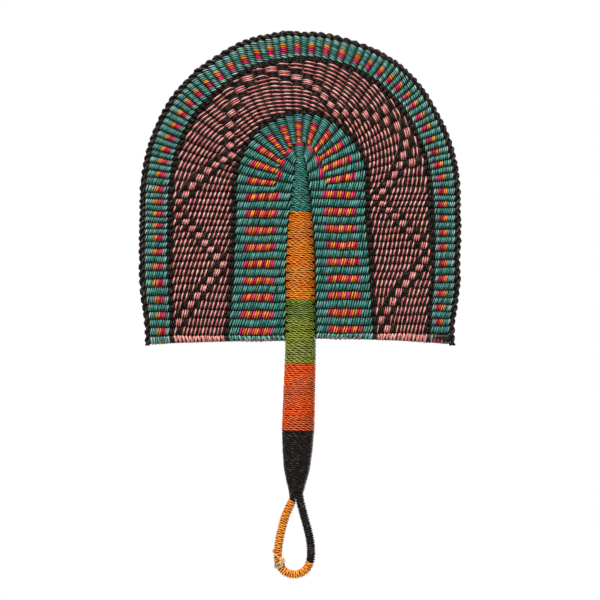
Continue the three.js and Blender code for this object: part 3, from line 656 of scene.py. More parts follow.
INNER_ENDS = np.arange(rib_total(INNER_RIBS) + 1)
NECK_ENDS = np.cumsum([0] + [1] * INNER_RIBS.side + list(RIBS_AT_NECKS) + [1] * INNER_RIBS.side)
MIDDLE_ENDS = np.interp(np.arange(rib_total(MIDDLE_RIBS) + 1), *MIDDLE_DRIFT)
OUTER_ENDS = np.interp(np.arange(OUTER_BAND_RIBS + 1), *OUTER_DRIFT)
INNER_BAND = Band(INNER_RIBS, INNER_ROWS, None, INNER_BAND_TO, INNER_ENDS)
NECK_BAND = Band(INNER_RIBS, INNER_ROWS, None, INNER_BAND_TO, NECK_ENDS)
INNER_RING = Band(MIDDLE_RIBS, RING_ROWS, RING_FROM, RING_FROM + RING_WIDTH, MIDDLE_ENDS)
MIDDLE_BAND = Band(MIDDLE_RIBS, MIDDLE_ROWS, MIDDLE_FROM, MIDDLE_FROM + MIDDLE_BAND_WIDTH, MIDDLE_ENDS)
OUTER_RING = Band(OUTER_RIBS, RING_ROWS, OUTER_RING_FROM, OUTER_RING_FROM + RING_WIDTH, OUTER_ENDS)
OUTER_BAND = Band(OUTER_RIBS, OUTER_ROWS, OUTER_FROM, BLADE_EDGE + 0.3 * MM, OUTER_ENDS)


# Strands

# How dark the painted shade is on the flanks of a lying strand, where it meets its neighbours
FLANK_PAINTED_SHADE = 0.95


class Strand:
    """Points along one strand, each with its width, tone, paleness and painted shade."""

    def __init__(self, rng):
        self.points = []
        self.looks = []
        self.offset = rng.uniform(0, 1)

    def add(self, point, width=1.0, tone=0.5, fade=0.0, shade=0.0):
        self.points.append(point)
        self.looks.append((width, tone, fade, shade))


def linked(name, data):
    """A new object in the scene."""
    made = bpy.data.objects.new(name, data)
    bpy.context.scene.collection.objects.link(made)
    return made


def mesh_of(curve_object):
    """The mesh that a curve makes. The curve's object is removed."""
    bpy.context.view_layer.update()
    ready = curve_object.evaluated_get(bpy.context.evaluated_depsgraph_get())
    mesh = bpy.data.meshes.new_from_object(ready)
    bpy.data.objects.remove(curve_object)
    return mesh


def mesh_from(name, shape):
    """A new mesh of a bmesh, which is freed."""
    mesh = bpy.data.meshes.new(name)
    shape.to_mesh(mesh)
    shape.free()
    return mesh


def swept(name, strands, half_width, half_thickness, sides, lying=False):
    """One mesh of all the strands, each a closed tube of an oval section.

    Lying strands are swept flat on the ground, face up, and stood up after that."""
    section = bpy.data.curves.new(name + "_section", "CURVE")
    outline = section.splines.new("POLY")
    outline.points.add(sides - 1)
    for side, point in enumerate(outline.points):
        angle = side * TAU / sides
        point.co = (half_width * math.cos(angle), half_thickness * math.sin(angle), 0, 1)
    outline.use_cyclic_u = True
    section_object = linked(section.name, section)

    curve = bpy.data.curves.new(name, "CURVE")
    curve.dimensions = "3D"
    curve.twist_mode = "Z_UP" if lying else "MINIMUM"
    curve.bevel_mode = "OBJECT"
    curve.bevel_object = section_object
    for strand in strands:
        spline = curve.splines.new("POLY")
        spline.points.add(len(strand.points) - 1)
        placed = [(p.x, p.z, -p.y, 1) if lying else (*p, 1) for p in strand.points]
        spline.points.foreach_set("co", [value for co in placed for value in co])
        spline.points.foreach_set("radius", [width for width, *_ in strand.looks])
        spline.use_smooth = True
    mesh = mesh_of(linked(name, curve))
    bpy.data.objects.remove(section_object)

    along = []
    for strand in strands:
        legs = [(after - before).length for before, after in zip(strand.points, strand.points[1:])]
        along += accumulate(legs, initial=strand.offset)
    if len(mesh.vertices) != len(along) * sides:
        raise RuntimeError(f"{name}: {len(mesh.vertices)} vertices for {len(along)} points")
    _, tones, fades, painted_shades = zip(*(look for strand in strands for look in strand.looks))
    # Painted shade of each point, made darker on the flanks of lying strands
    painted_flank_shade = np.abs(np.cos(np.arange(sides) * TAU / sides)) ** 2 * (FLANK_PAINTED_SHADE if lying else 0)
    for label, values in (("along", along), ("tone", tones), ("fade", fades), ("shade", painted_shades)):
        spread = np.repeat(np.array(values, np.float32), sides)
        if label == "shade":
            spread = 1 - (1 - spread) * (1 - np.tile(painted_flank_shade, len(along)))
        attribute = mesh.attributes.new(label, "FLOAT", "POINT")
        attribute.data.foreach_set("value", spread.astype(np.float32))

    shape = bmesh.new()
    shape.from_mesh(mesh)
    bmesh.ops.holes_fill(shape, edges=[edge for edge in shape.edges if edge.is_boundary], sides=0)
    if lying:
        bmesh.ops.transform(shape, matrix=Matrix.Rotation(math.pi / 2, 4, "X"), verts=shape.verts)
    if shape.calc_volume(signed=True) < 0:
        bmesh.ops.reverse_faces(shape, faces=shape.faces)
    shape.to_mesh(mesh)
    shape.free()
    return mesh


def add_piece(name, mesh, material, slot, *replaced):
    """Makes a mesh a finished piece. Below the blade it leans with the handle."""
    for vertex in mesh.vertices:
        if vertex.co.z < LEAN_FROM_Z:
            vertex.co.x -= lean_at(vertex.co.z)
    piece = linked(name, mesh)
    mesh.materials.clear()
    mesh.materials.append(material)
    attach(piece, "root")
    if replaced:
        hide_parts(*replaced)


def twist_phases(in_front):
    """Turn of a strand at each rib: half a turn more where it changes sides, else a whole one."""
    phases = [0.0 if in_front[0] else math.pi]
    for before, after in zip(in_front, in_front[1:]):
        phases.append(phases[-1] + (math.pi if before != after else TAU))
    return phases


VALLEY_QUICKNESS = 0.1


def phase_at(phases, at):
    """The strand's turn between ribs: even over half a turn, quick in the valley over a whole one."""
    rib = math.floor(at - 0.5)
    if rib < 0:
        return phases[0] - math.pi * (0.5 - at)
    if rib >= len(phases) - 1:
        return phases[-1] + math.pi * (at - len(phases) + 0.5)
    share = at - 0.5 - rib
    turn = phases[rib + 1] - phases[rib]
    if turn > math.pi * 1.5:
        share -= VALLEY_QUICKNESS * math.sin(TAU * share)
    return phases[rib] + turn * share


# Strokes of the weft over a rib: how they differ in width, height, place, tone and paleness, how full they
# are, how flat they lie, and how dark their painted shade gets where they dive between the ribs
STROKE_SPREAD = (0.1, 0.07, 0.1, 0.36, 0.4)
LEAST_PALENESS_SCALE = 0.12
STROKE_FULLNESS = 2.2
STROKE_FLATNESS = 0.35
STROKE_END_PAINTED_SHADE = 0.6
VALLEY_HALF_THICKNESS = 1.1 * MM


def twined(band, row, in_front, weave, rng, bulk=1.0, fade=0.0, sunk=0.0):
    """One strand of a row: it lies before or behind each rib and twists round its mate in between."""
    strand = Strand(rng)
    phases = twist_phases(in_front)
    steps = weave.steps_per_rib
    strand_tone = rng.random()
    scales = (*[weave.unevenness] * 3, 1, LEAST_PALENESS_SCALE + fade)
    strokes = [[rng.gauss(0, spread) * scale for spread, scale in zip(STROKE_SPREAD, scales)]
               for _ in range(band.total + 1)]
    for step in range(band.total * steps + 1):
        at = step / steps
        rib = min(int(at), band.total - 1)
        wider, higher, aside, tone, paler = strokes[rib]
        away = abs(at - rib - 0.5) * 2
        over = 1 - away ** STROKE_FULLNESS
        turn = phase_at(phases, at)
        facing = math.cos(turn)
        middle, outward, pitch = band.place(row, at)
        width = bulk * weave.strand_fill * pitch / 2 * (0.5 + 0.5 * over + wider * over)
        ridge = (weave.relief - width * weave.roundness - sunk) * (1 + higher)
        lift = lerp(VALLEY_HALF_THICKNESS, ridge, over)
        lift *= math.copysign(abs(facing) ** STROKE_FLATNESS, facing)
        sideways = pitch * (aside * over - weave.slant / 2 * math.sin(turn))
        place = middle + outward * sideways
        # Painted shade darkens each stroke towards its ends, where it dives between the ribs
        strand.add(
            Vector((place.x, -lift, place.y)), width / MM, clamp(0.25 + strand_tone * 0.5 + tone * over),
            clamp(fade + paler * over), away ** 3 * STROKE_END_PAINTED_SHADE)
    return strand


STRAWS_PER_RIB = 3
STRAW_LAP = 1.2
STRAW_HALF_THICKNESS = 0.35 * MM
STRAW_DEPTH_SPREAD = 0.12 * MM


def spoke_straws(band, rows_past, rng):
    """The flat straws of the spokes inside a band. They run on past it by some rows."""
    straws = []
    for straw in range(band.total * STRAWS_PER_RIB):
        at = (straw + 0.5) / STRAWS_PER_RIB
        strand = Strand(rng)
        tone = rng.random()
        depth = rng.uniform(-STRAW_DEPTH_SPREAD, STRAW_DEPTH_SPREAD)
        for share in shares(8):
            row = lerp(-0.5 - rows_past, band.rows - 0.5 + rows_past, share)
            middle = band.place(row, at)[0]
            half_width = (band.place(row, at + 0.5 / STRAWS_PER_RIB)[0] - middle).length
            strand.add(Vector((middle.x, depth, middle.y)), half_width * STRAW_LAP / MM, tone)
        straws.append(strand)
    return straws


def by_turns(band, first_in_front=True):
    return [(rib % 2 == 0) == first_in_front for rib in range(band.total)]


# Which colour and how pale the strand is that shows on the checked ribs, and how pale its mate is
OUTER_CHECKS = [
    ("teal", 0.55, 0.35), ("teal", 0.4, 0.2), ("teal", 0.25, 0.12), ("teal", 0.15, 0.06),
    ("orange", 0.1, 0.04), ("orange", 0.0, 0.04), ("pink", 0.0, 0.03), ("pink", 0.0, 0.05),
    ("pink", 0.0, 0.08), ("teal", 0.3, 0.14), ("teal", 0.5, 0.25),
]
INNER_CHECKS = [
    ("teal", 0.16, 0.1), ("teal", 0.03, 0.04), ("teal", 0.02, 0.04), ("teal", 0.1, 0.02),
    *((colour, 0.04, 0.02) for colour in ("pink", "pink", "orange", "orange") * 3 + ("pink", "pink")),
    ("teal", 0.04, 0.02), ("teal", 0.06, 0.03), ("teal", 0.04, 0.05), ("teal", 0.12, 0.05),
    ("teal", 0.3, 0.1),
]


def salmon_in_front(rib, row):
    """Whether salmon shows, by rib from 1 at the left foot and row from 0 at the outer edge."""
    blocks = [ZIGZAG_DEPTH - min(abs(rib - peak) for peak in ZIGZAG_PEAKS)]
    if rib in SLIP_RIBS:
        blocks.append(SLIP_BLOCK)
    past = [row - ZIGZAG_FROM_ROW - block * BLOCK_ROWS for block in blocks]
    if any(0 <= rows < BLOCK_ROWS for rows in past):
        return True
    if any(-BLOCK_ROWS <= rows < 2 * BLOCK_ROWS for rows in past):
        return False
    return (rib + row - ZIGZAG_FROM_ROW) % 2 == 0


def checked_band(band, checks, weave, rng):
    """Strands of a band with checks, by colour."""
    strands = {"teal": [], "pink": [], "orange": []}
    for row, (colour, fade, mate_fade) in enumerate(checks):
        at_necks = band is INNER_BAND and row >= INNER_ROWS - NECK_ROWS
        zone = NECK_BAND if at_necks else band
        front = by_turns(zone)
        if at_necks and colour != "teal":
            front[INNER_RIBS.side + 1:-INNER_RIBS.side - 1] = [True] * (len(RIBS_AT_NECKS) - 2)
        back = [not shows for shows in front]
        strands[colour].append(twined(zone, row, front, weave, rng, fade=fade))
        strands["teal"].append(twined(zone, row, back, weave, rng, fade=mate_fade))
    return strands


# Looks of the dyes: the paler straw in them, how dull and how light they get, and how streaky they are
Look = namedtuple("Look", "pale dullest lightest streaks", defaults=(0.6, 0.4, 0.35))
LOOKS = {
    "teal": Look(None, 0.55, 0.2, 0.35),
    "winding_teal": Look(srgb(120, 200, 180), 0.65, 0.35, 0.8),
    # Black's pale fibre streaks are partly the straw's fibres and partly painted highlights
    "black": Look(srgb(104, 88, 80), 0.4, 0.15, 0.85),
    "shaded_straw": Look(srgb(72, 60, 42)),
    "straw": Look(srgb(236, 210, 168)),
    "pink": Look(srgb(255, 112, 146), 0.75, 0.4, 0.45),
    # Salmon's pale fibre streaks are partly the straw's fibres and partly painted highlights
    "salmon": Look(srgb(255, 206, 194), 0.65, 0.5, 0.7),
    "orange": Look(srgb(255, 196, 104), 0.75, 0.4, 0.45),
    "winding_orange": Look(srgb(246, 190, 80), 1.0, 0.55, 0.8),
    "red_orange": Look(srgb(250, 140, 70), 1.0, 0.5, 0.7),
    "dark_green": Look(None, 0.8, 0.65, 0.95),
    "light_green": Look(None, 0.8, 0.65, 0.95),
}


def straw_of(dye):
    """The strand material of a dye, made once. Teal pales to mint, and the greens to a yellower green."""
    label = f"{dye}_straw"
    found = bpy.data.materials.get(label)
    if found:
        return found
    colours = bpy.context.scene.fan_colours
    colour = tuple(getattr(colours, dye))
    look = LOOKS[dye]
    yellower = tinted(colour, srgb(250, 235, 160), 0.3)
    pale = tuple(colours.mint) if dye == "teal" else look.pale or yellower
    return strand_straw(label, colour, pale, look.dullest, look.lightest, look.streaks)


def add_strands(name, strands, dye, slot, section, *replaced, lying=False):
    """Adds a piece of strands. Their section is a half-width, a half-thickness and a number of sides."""
    add_piece(name, swept(name, strands, *section, lying), straw_of(dye), slot, *replaced)


def add_weft(name, strands, weave, dye, slot, *replaced):
    add_strands(name, strands, dye, slot, (MM, weave.roundness * MM, 8), *replaced, lying=True)


class FAN_OT_checked_bands(bpy.types.Operator):
    """Weaves the inner and outer teal bands with their pink and orange checks"""
    bl_idname = "fan.checked_bands"
    bl_label = "Checked bands"

    def execute(self, context):
        weave = context.scene.fan_weave
        for label, band, checks, node, seed in (
                ("Inner", INNER_BAND, INNER_CHECKS, "Inner_teal_band", 11),
                ("Outer", OUTER_BAND, OUTER_CHECKS, "Outer_teal_band", 12)):
            strands = checked_band(band, checks, weave, random.Random(seed))
            for colour, found in strands.items():
                replaced = [node] if colour == "teal" else []
                add_weft(f"{label}_{colour}_weft", found, weave, colour, "teal_weft", *replaced)
        return {"FINISHED"}


class FAN_OT_salmon_band(bpy.types.Operator):
    """Weaves the salmon and black band with its zigzag of blocks"""
    bl_idname = "fan.salmon_band"
    bl_label = "Salmon band"

    def execute(self, context):
        weave = context.scene.fan_weave
        rng = random.Random(21)
        salmon, black = [], []
        for row in range(MIDDLE_ROWS):
            shows = [salmon_in_front(rib + 1, row) for rib in range(MIDDLE_BAND.total)]
            salmon.append(twined(MIDDLE_BAND, row, shows, weave, rng, bulk=1.08, fade=0.12))
            hidden = [not front for front in shows]
            black.append(twined(MIDDLE_BAND, row, hidden, weave, rng, sunk=0.35 * MM))
        add_weft("Salmon_weft", salmon, weave, "salmon", "salmon_black_weft", "Salmon_and_black_band")
        add_weft("Black_ground_weft", black, weave, "black", "salmon_black_weft")
        return {"FINISHED"}


class FAN_OT_black_rings(bpy.types.Operator):
    """Weaves the two black rings between the bands"""
    bl_idname = "fan.black_rings"
    bl_label = "Black rings"

    def execute(self, context):
        weave = context.scene.fan_weave
        for name, band, node, seed in (
                ("Inner_ring_weft", INNER_RING, "Inner_black_ring", 31),
                ("Outer_ring_weft", OUTER_RING, "Outer_black_ring", 32)):
            rng = random.Random(seed)
            strands = [twined(band, row, by_turns(band, first), weave, rng, bulk=1.12)
                       for row in range(RING_ROWS) for first in (True, False)]
            add_weft(name, strands, weave, "black", "black_weft", node)
        return {"FINISHED"}


class FAN_OT_spoke_straws(bpy.types.Operator):
    """Lays the flat straws of the spokes side by side inside the weft"""
    bl_idname = "fan.spoke_straws"
    bl_label = "Spoke straws"

    def execute(self, context):
        rng = random.Random(35)
        for label, band, rows_past in (("Inner", INNER_BAND, 1.3), ("Middle", MIDDLE_BAND, 2.4),
                                       ("Outer", OUTER_BAND, 1.5)):
            straws = spoke_straws(band, rows_past, rng)
            # The spokes' straws take the dark painted shade straw colour, where they lie in shade inside the
            # weft
            add_strands(f"{label}_spoke_straws", straws, "shaded_straw", "spoke_straw",
                        (MM, STRAW_HALF_THICKNESS, 6), lying=True)
        return {"FINISHED"}


# Cords of two plies

# How the painted shade deepens as a ply turns inward, under its mate
PLY_PAINTED_SHADE_POWER = 1.2


def plied(rng, places, index, ply_offset, drift, drift_length, swell=0.0, fade=0.0):
    """Two strands that twist round a line of places, each with its way out, its way up and its width.

    The twist drifts by some radians, and the width swells by a share of itself."""
    lay = bpy.context.scene.fan_winding.lay
    travelled = 0.0
    turns = []
    for i, (centre, _, _, width) in enumerate(places):
        if i:
            travelled += (centre - places[i - 1][0]).length
        turn = drift * wander(travelled / drift_length, index * 5.7, 3) - TAU * travelled / lay
        turns.append((turn, width * (1 + swell * wander(travelled / (6 * MM), index, 9))))
    pair = []
    for ply in range(2):
        strand = Strand(rng)
        tone = rng.random()
        for i, ((centre, outward, up, _), (turn, width)) in enumerate(zip(places, turns)):
            angle = turn + ply * math.pi
            place = centre + (outward * math.cos(angle) + up * math.sin(angle)) * ply_offset
            stray = wander(i * 0.02, ply * 7.3, strand.offset * 50)
            # Painted shade: the ply darkens as it turns inward, under its mate
            under = (0.5 - 0.5 * math.cos(angle)) ** PLY_PAINTED_SHADE_POWER
            strand.add(place, width, clamp(tone + stray), fade, under)
        pair.append(strand)
    return pair


# Edge cord, in millimetres: how far its plies lie from its middle and its fibres from theirs, outwards and
# to the front, and how much all of it strays
PLY_REACH = 1.35
FIBRE_OUT = 0.55
FIBRE_FRONT = 0.6
PLY_STRAY = 0.3
FIBRES_PER_PLY = 3
EDGE_FIBRE_SECTION = (0.9 * MM, 0.75 * MM, 6)
EDGE_CORE_INSET = 0.5 * MM


def edge_place(at, inset=0.0):
    """A point of the line that the edge cord follows, by ribs of the outer band, and the way out there."""
    passed = OUTER_BAND.passed(at)
    centre = strayed(EDGE_CORD_CENTRE - inset, passed / rib_total(OUTER_RIBS))
    point = row_point(OUTER_RIBS, centre, passed)
    return point, (row_point(OUTER_RIBS, centre + MM, passed) - point).normalized()


class FAN_OT_edge_cord(bpy.types.Operator):
    """Twists the black cord along the edge of the blade, one bump to each rib, over a last black row"""
    bl_idname = "fan.edge_cord"
    bl_label = "Edge cord"

    def execute(self, context):
        weave = context.scene.fan_weave
        rng = random.Random(41)
        below_left, below_right = [
            (foot_z(side) - foot_z(LEFT) + HEM_DROP_AT_CORNER) / climbed_by(OUTER_RIBS, 1, side)
            for side in (LEFT, RIGHT)]
        ribs_long = below_left + OUTER_BAND.total + below_right
        count = round(ribs_long * weave.steps_per_rib)
        passed = [ribs_long * step / count - below_left for step in range(count + 1)]
        fibres = []
        for ply in range(2):
            for fibre in range(FIBRES_PER_PLY):
                strand = Strand(rng)
                tone = rng.random()
                for at in passed:
                    point, outward = edge_place(at)
                    stray = wander(at * 0.8, ply * 7.1, fibre * 3.3)
                    turn = math.pi * (at - 0.5 + ply) + 0.5 * wander(at * 0.6, ply * 2.9, 0)
                    spin = turn * 1.6 + fibre * TAU / FIBRES_PER_PLY + stray
                    reach = PLY_REACH + PLY_STRAY * stray
                    bump = math.copysign(abs(math.cos(turn)) ** 1.2, math.cos(turn))
                    out = reach * bump + FIBRE_OUT * math.cos(spin)
                    front = reach * math.sin(turn) + FIBRE_FRONT * math.sin(spin)
                    place = swayed(point + outward * out * MM)
                    strand.add(Vector((place.x, -front * MM, place.y)), 1 + 0.25 * stray, tone)
                fibres.append(strand)
        core = Strand(rng)
        for at in passed:
            place = swayed(edge_place(at, EDGE_CORE_INSET)[0])
            core.add(Vector((place.x, 0, place.y)), 1.3)
        fibres.append(core)
        add_strands("Edge_cord", fibres, "black", "edge_black", EDGE_FIBRE_SECTION, "Black_edge_cord")
        last_row = [twined(OUTER_BAND, -0.9, by_turns(OUTER_BAND, first), weave, rng, bulk=1.1, sunk=0.6 * MM)
                    for first in (True, False)]
        add_weft("Edge_row", last_row, weave, "black", "edge_black")
        return {"FINISHED"}


def hem_drop(side, x):
    """How far the hem reaches below the foot of a side: both end at the same height."""
    start = stem_size(foot_z(side))[0]
    share = clamp((abs(x) - start) / (BLADE_EDGE - start))
    at_stem = HEM_DROP_AT_STEM if side == LEFT else HEM_DROP_AT_STEM - RIGHT_HEM_RISE
    return foot_z(side) - foot_z(LEFT) + lerp(at_stem, HEM_DROP_AT_CORNER, share ** 2)


def turned_back(band, row, side, weave, rng, lean, fade=0.0, bulk=1.0, turns=(-0.2, 1.9)):
    """A strand that goes down over the hem, round its lower edge and up the back, by half turns."""
    strand = Strand(rng)
    middle, outward, pitch = band.place(row, 0 if side == LEFT else band.total)
    drop = hem_drop(side, middle.x)
    tone = rng.random()
    aside = rng.gauss(0, 0.15)
    depth = weave.relief - 0.5 * MM
    for share in shares(20):
        angle = lerp(*turns, share) * math.pi
        under = clamp(angle / math.pi)
        z = middle.y - drop / 2 + 0.2 * MM + (drop / 2 - 0.4 * MM) * math.cos(angle)
        shift = pitch * (aside + lean * (0.5 - under))
        width = bulk * weave.strand_fill * pitch / 2 * (0.85 + 0.15 * math.sin(under * math.pi))
        place = Vector((middle.x + outward.x * shift, -depth * math.sin(angle), z))
        strand.add(place, width / MM, tone, clamp(fade))
    return strand


def hem_rod(side, rng):
    """The last spoke, bound in black, that the weft turns round."""
    strand = Strand(rng)
    start = side * (stem_size(foot_z(side))[0] - 1.0 * MM)
    end = BLADE_SHIFT + side * (BLADE_EDGE + foot_shift(BLADE_EDGE, foot_z(side)) + 1.5 * MM)
    for share in shares(60):
        x = lerp(start, end, share)
        drop = hem_drop(side, x)
        strand.add(Vector((x, 0, foot_z(side) - drop / 2 + 0.3 * MM)), drop / 2 / MM - 0.1)
    return strand


class FAN_OT_hems(bpy.types.Operator):
    """Turns the weft back over the last spoke along the foot of the blade"""
    bl_idname = "fan.hems"
    bl_label = "Hems"

    def execute(self, context):
        weave = context.scene.fan_weave
        rng = random.Random(51)
        for side, side_name in ((LEFT, "Left"), (RIGHT, "Right")):
            strands = {"teal": [], "pink": [], "orange": [], "salmon": [], "black": []}

            def turn(band, row, colour, lean, **how):
                strands[colour].append(turned_back(band, row, side, weave, rng, lean, **how))

            for band, checks in ((INNER_BAND, INNER_CHECKS), (OUTER_BAND, OUTER_CHECKS)):
                for row, (colour, fade, mate_fade) in enumerate(checks):
                    shown = colour if side == RIGHT and band is OUTER_BAND else "teal"
                    paleness = fade if shown == colour else mate_fade
                    if row % 2 == 0:
                        turn(band, row, shown, 1.2, fade=paleness + rng.uniform(0, 0.3), bulk=1.2)
                    else:
                        turn(band, row - 0.15, shown, 0.3, fade=paleness, bulk=0.8)
                    if shown != colour and row % 2:
                        turn(band, row, colour, 0.0, bulk=1.1, turns=(0.62, 1.4))
            for band in (INNER_RING, OUTER_RING):
                for row in range(RING_ROWS):
                    turn(band, row, "black", 1.0 if row % 2 else -0.3)
            for row in range(0, MIDDLE_ROWS, 2):
                turn(MIDDLE_BAND, row, "salmon", 1.5, fade=0.15, bulk=1.3)
                turn(MIDDLE_BAND, row + 0.75, "salmon", rng.choice((-0.6, 0.2, 1.0)), fade=0.1, bulk=0.85)
            strands["black"].append(hem_rod(side, rng))
            for colour, found in strands.items():
                if found:
                    replaced = [f"{side_name}_hem"] if colour == "salmon" else []
                    add_weft(f"{side_name}_hem_{colour}", found, weave, colour, "hem_straw", *replaced)
        return {"FINISHED"}


# Windings

STEM_COLOURS = [
    ("Teal_stem_winding", "winding_teal", 213.2 * MM, 167.4 * MM, "stem_teal"),
    ("Orange_stem_winding", "winding_orange", 167.4 * MM, 96.8 * MM, "stem_orange"),
    ("Dark_green_stem_winding", "dark_green", 96.8 * MM, 80.0 * MM, "stem_dark_green"),
    ("Light_green_stem_winding", "light_green", 80.0 * MM, 46.4 * MM, "stem_light_green"),
    ("Red_orange_grip_winding", "red_orange", 46.4 * MM, -7.3 * MM, "grip_red_orange"),
    ("Black_neck_winding", "black", -7.3 * MM, -63.5 * MM, "neck_black"),
]
WINDING_START = TOP_NECK_Z + 0.42 * MM
WINDING_STEPS = 52
WINDING_STRAY = 0.26 * MM
UNDERLAY_DEPTH = 1.25 * MM
UNDERLAY_RINGS = 24
UNDERLAY_SIDES = 32


def wound_place(turn, winding):
    """Centre of the strand on the stem at a turn, the way out from the stem and the width there."""
    pitch = RIB_PITCH / winding.turns_per_rib
    angle = turn * TAU
    half_turn = round(turn * 2)
    side = RIGHT if half_turn % 2 == 0 else LEFT
    below_neck = (neck_z(side, 0) - WINDING_START + pitch * half_turn / 2) / RIB_PITCH % 1
    z = WINDING_START - pitch * turn
    in_blade = clamp((z - foot_z(LEFT) + RIB_PITCH) / RIB_PITCH)
    side_share = math.cos(angle) ** 4 * in_blade
    z -= (0.5 - below_neck) * NECK_HEIGHT * side_share
    width, depth = stem_size(z)
    reach = winding.ply_radius + winding.ply_offset / 2
    centre = Vector(((width - reach) * math.cos(angle), (depth - reach) * math.sin(angle), z))
    outward = Vector((math.cos(angle) / width, math.sin(angle) / depth, 0)).normalized()
    return centre, outward, 1 - 0.3 * side_share


def underlay(name, z_top, z_foot):
    """The closed layer of straw under a stretch of the winding: a spun outline, drawn in to an oval."""
    shape = bmesh.new()
    heights = [lerp(z_top, z_foot, share) for share in shares(UNDERLAY_RINGS)]
    outline = [(0.0, z_top), *((stem_size(z)[0] - UNDERLAY_DEPTH, z) for z in heights), (0.0, z_foot)]
    verts = [shape.verts.new((x, 0, z)) for x, z in outline]
    edges = [shape.edges.new(pair) for pair in zip(verts, verts[1:])]
    bmesh.ops.spin(
        shape, geom=verts + edges, axis=(0, 0, 1), cent=(0, 0, 0), angle=TAU, steps=UNDERLAY_SIDES,
        use_merge=True)
    bmesh.ops.remove_doubles(shape, verts=shape.verts, dist=0.001 * MM)
    for vert in shape.verts:
        width, depth = stem_size(vert.co.z)
        vert.co.y *= (depth - UNDERLAY_DEPTH) / (width - UNDERLAY_DEPTH)
    bmesh.ops.recalc_face_normals(shape, faces=shape.faces)
    for face in shape.faces:
        face.smooth = True
    return mesh_from(name, shape)


def add_winding(node, colour, slot, pair, ply_radius, under):
    """Adds the two-ply strand of a winding and the plain layer of straw under it, in the painted shade straw
    colour.
    """
    add_strands(f"{node}_strand", pair, colour, slot, (ply_radius, ply_radius, 5), node)
    add_piece(f"{node}_underlay", under, straw_of("shaded_straw"), slot)


class FAN_OT_stem_windings(bpy.types.Operator):
    """Winds the two-ply strand round the stem and handle, colour by colour"""
    bl_idname = "fan.stem_windings"
    bl_label = "Stem windings"

    def execute(self, context):
        winding = context.scene.fan_winding
        pitch = RIB_PITCH / winding.turns_per_rib
        for index, (node, colour, z_top, z_foot, slot) in enumerate(STEM_COLOURS):
            first, last = [round((WINDING_START - z) / pitch) + 0.25 for z in (z_top, z_foot)]
            count = round((last - first) * WINDING_STEPS)
            places = []
            for step, share in enumerate(shares(count)):
                turn = lerp(first, last, share)
                centre, outward, width = wound_place(turn, winding)
                tuck = clamp(1 - min(step, count - step) / (WINDING_STEPS / 6))
                centre -= outward * MM * tuck
                centre.z += WINDING_STRAY * wander(turn * 2.3, index * 9.1, 0)
                places.append((centre, outward, Vector((0, 0, 1)), width))
            pair = plied(
                random.Random(60 + index), places, index, winding.ply_offset, drift=1.6,
                drift_length=14 * MM, swell=0.14, fade=0.05)
            under = underlay(f"{node}_underlay", z_top, z_foot)
            add_winding(node, colour, slot, pair, winding.ply_radius, under)
        return {"FINISHED"}


# The loop's winding: steps to a turn, how far it strays, how far it runs up into the neck, and how far the
# straw under it lies below its outside
LOOP_STEPS = 28
LOOP_STRAY = 0.22 * MM
LOOP_TUCK = 2.5 * MM
SLEEVE_DEPTH = 1.0 * MM

# The tie: turns, steps to a turn, how it crowds towards its lower end, how far apart its fibres are and how
# they lie over the winding. The knot: size, place from the leg, and reach of its loose ends in millimetres
TIE_TURNS = 1.6
TIE_STEPS = 30
TIE_BUNCHING = 2.2
TIE_FIBRE_GAP = 0.6 * MM
TIE_LIFT = 0.35 * MM
TIE_STRAY = 0.25 * MM
KNOT_SIZE = 0.86 * MM
KNOT_FROM_LEG = Vector((LOOP_WOUND_RADIUS - 0.4 * MM, -2.8 * MM, -2.6 * MM))
KNOT_FIBRE_GAP = Vector((0, -0.55 * MM, 0.35 * MM))
KNOT_END_BOW = Vector((0, -1.6 * MM, 0))
KNOT_ENDS = ((-4.8, -1.2, 5.5), (-4.6, -1.4, -2.6))


def loop_line():
    """The loop's route as a smooth line through its points."""
    curve = bpy.data.curves.new("Loop_route", "CURVE")
    curve.dimensions = "3D"
    curve.resolution_u = 24
    spline = curve.splines.new("BEZIER")
    spline.bezier_points.add(len(LOOP_ROUTE) - 1)
    for point, (x, z) in zip(spline.bezier_points, LOOP_ROUTE):
        point.co = (x * MM, 0, z * MM)
        point.handle_left_type = point.handle_right_type = "AUTO"
    return Line([vert.co.copy() for vert in mesh_of(linked("Loop_route", curve)).vertices])


def distance_at(line, z, side):
    """Where the loop's route crosses a height, on its right or left leg."""
    steps = 1000
    for step in range(steps // 2):
        share = step / steps if side == RIGHT else 1 - step / steps
        if line.at(share * line.length).z < z:
            return share * line.length
    raise RuntimeError("the loop doesn't reach that height")


def round_loop(line, distance, angle, radius):
    """A point round the loop's route, and the way out from it and along it there."""
    along = line.tangent(distance, 0.6 * MM)
    back = Vector((0, 1, 0))
    outward = along.cross(back) * math.cos(angle) + back * math.sin(angle)
    return line.at(distance) + outward * radius, outward, along


def sleeve(name, line, start, end, radius):
    """The plain layer of straw under a stretch of the loop's winding."""
    strand = Strand(random.Random(5))
    for share in shares(60):
        strand.add(line.at(lerp(start, end, share)))
    return swept(name, [strand], radius, radius, 12)


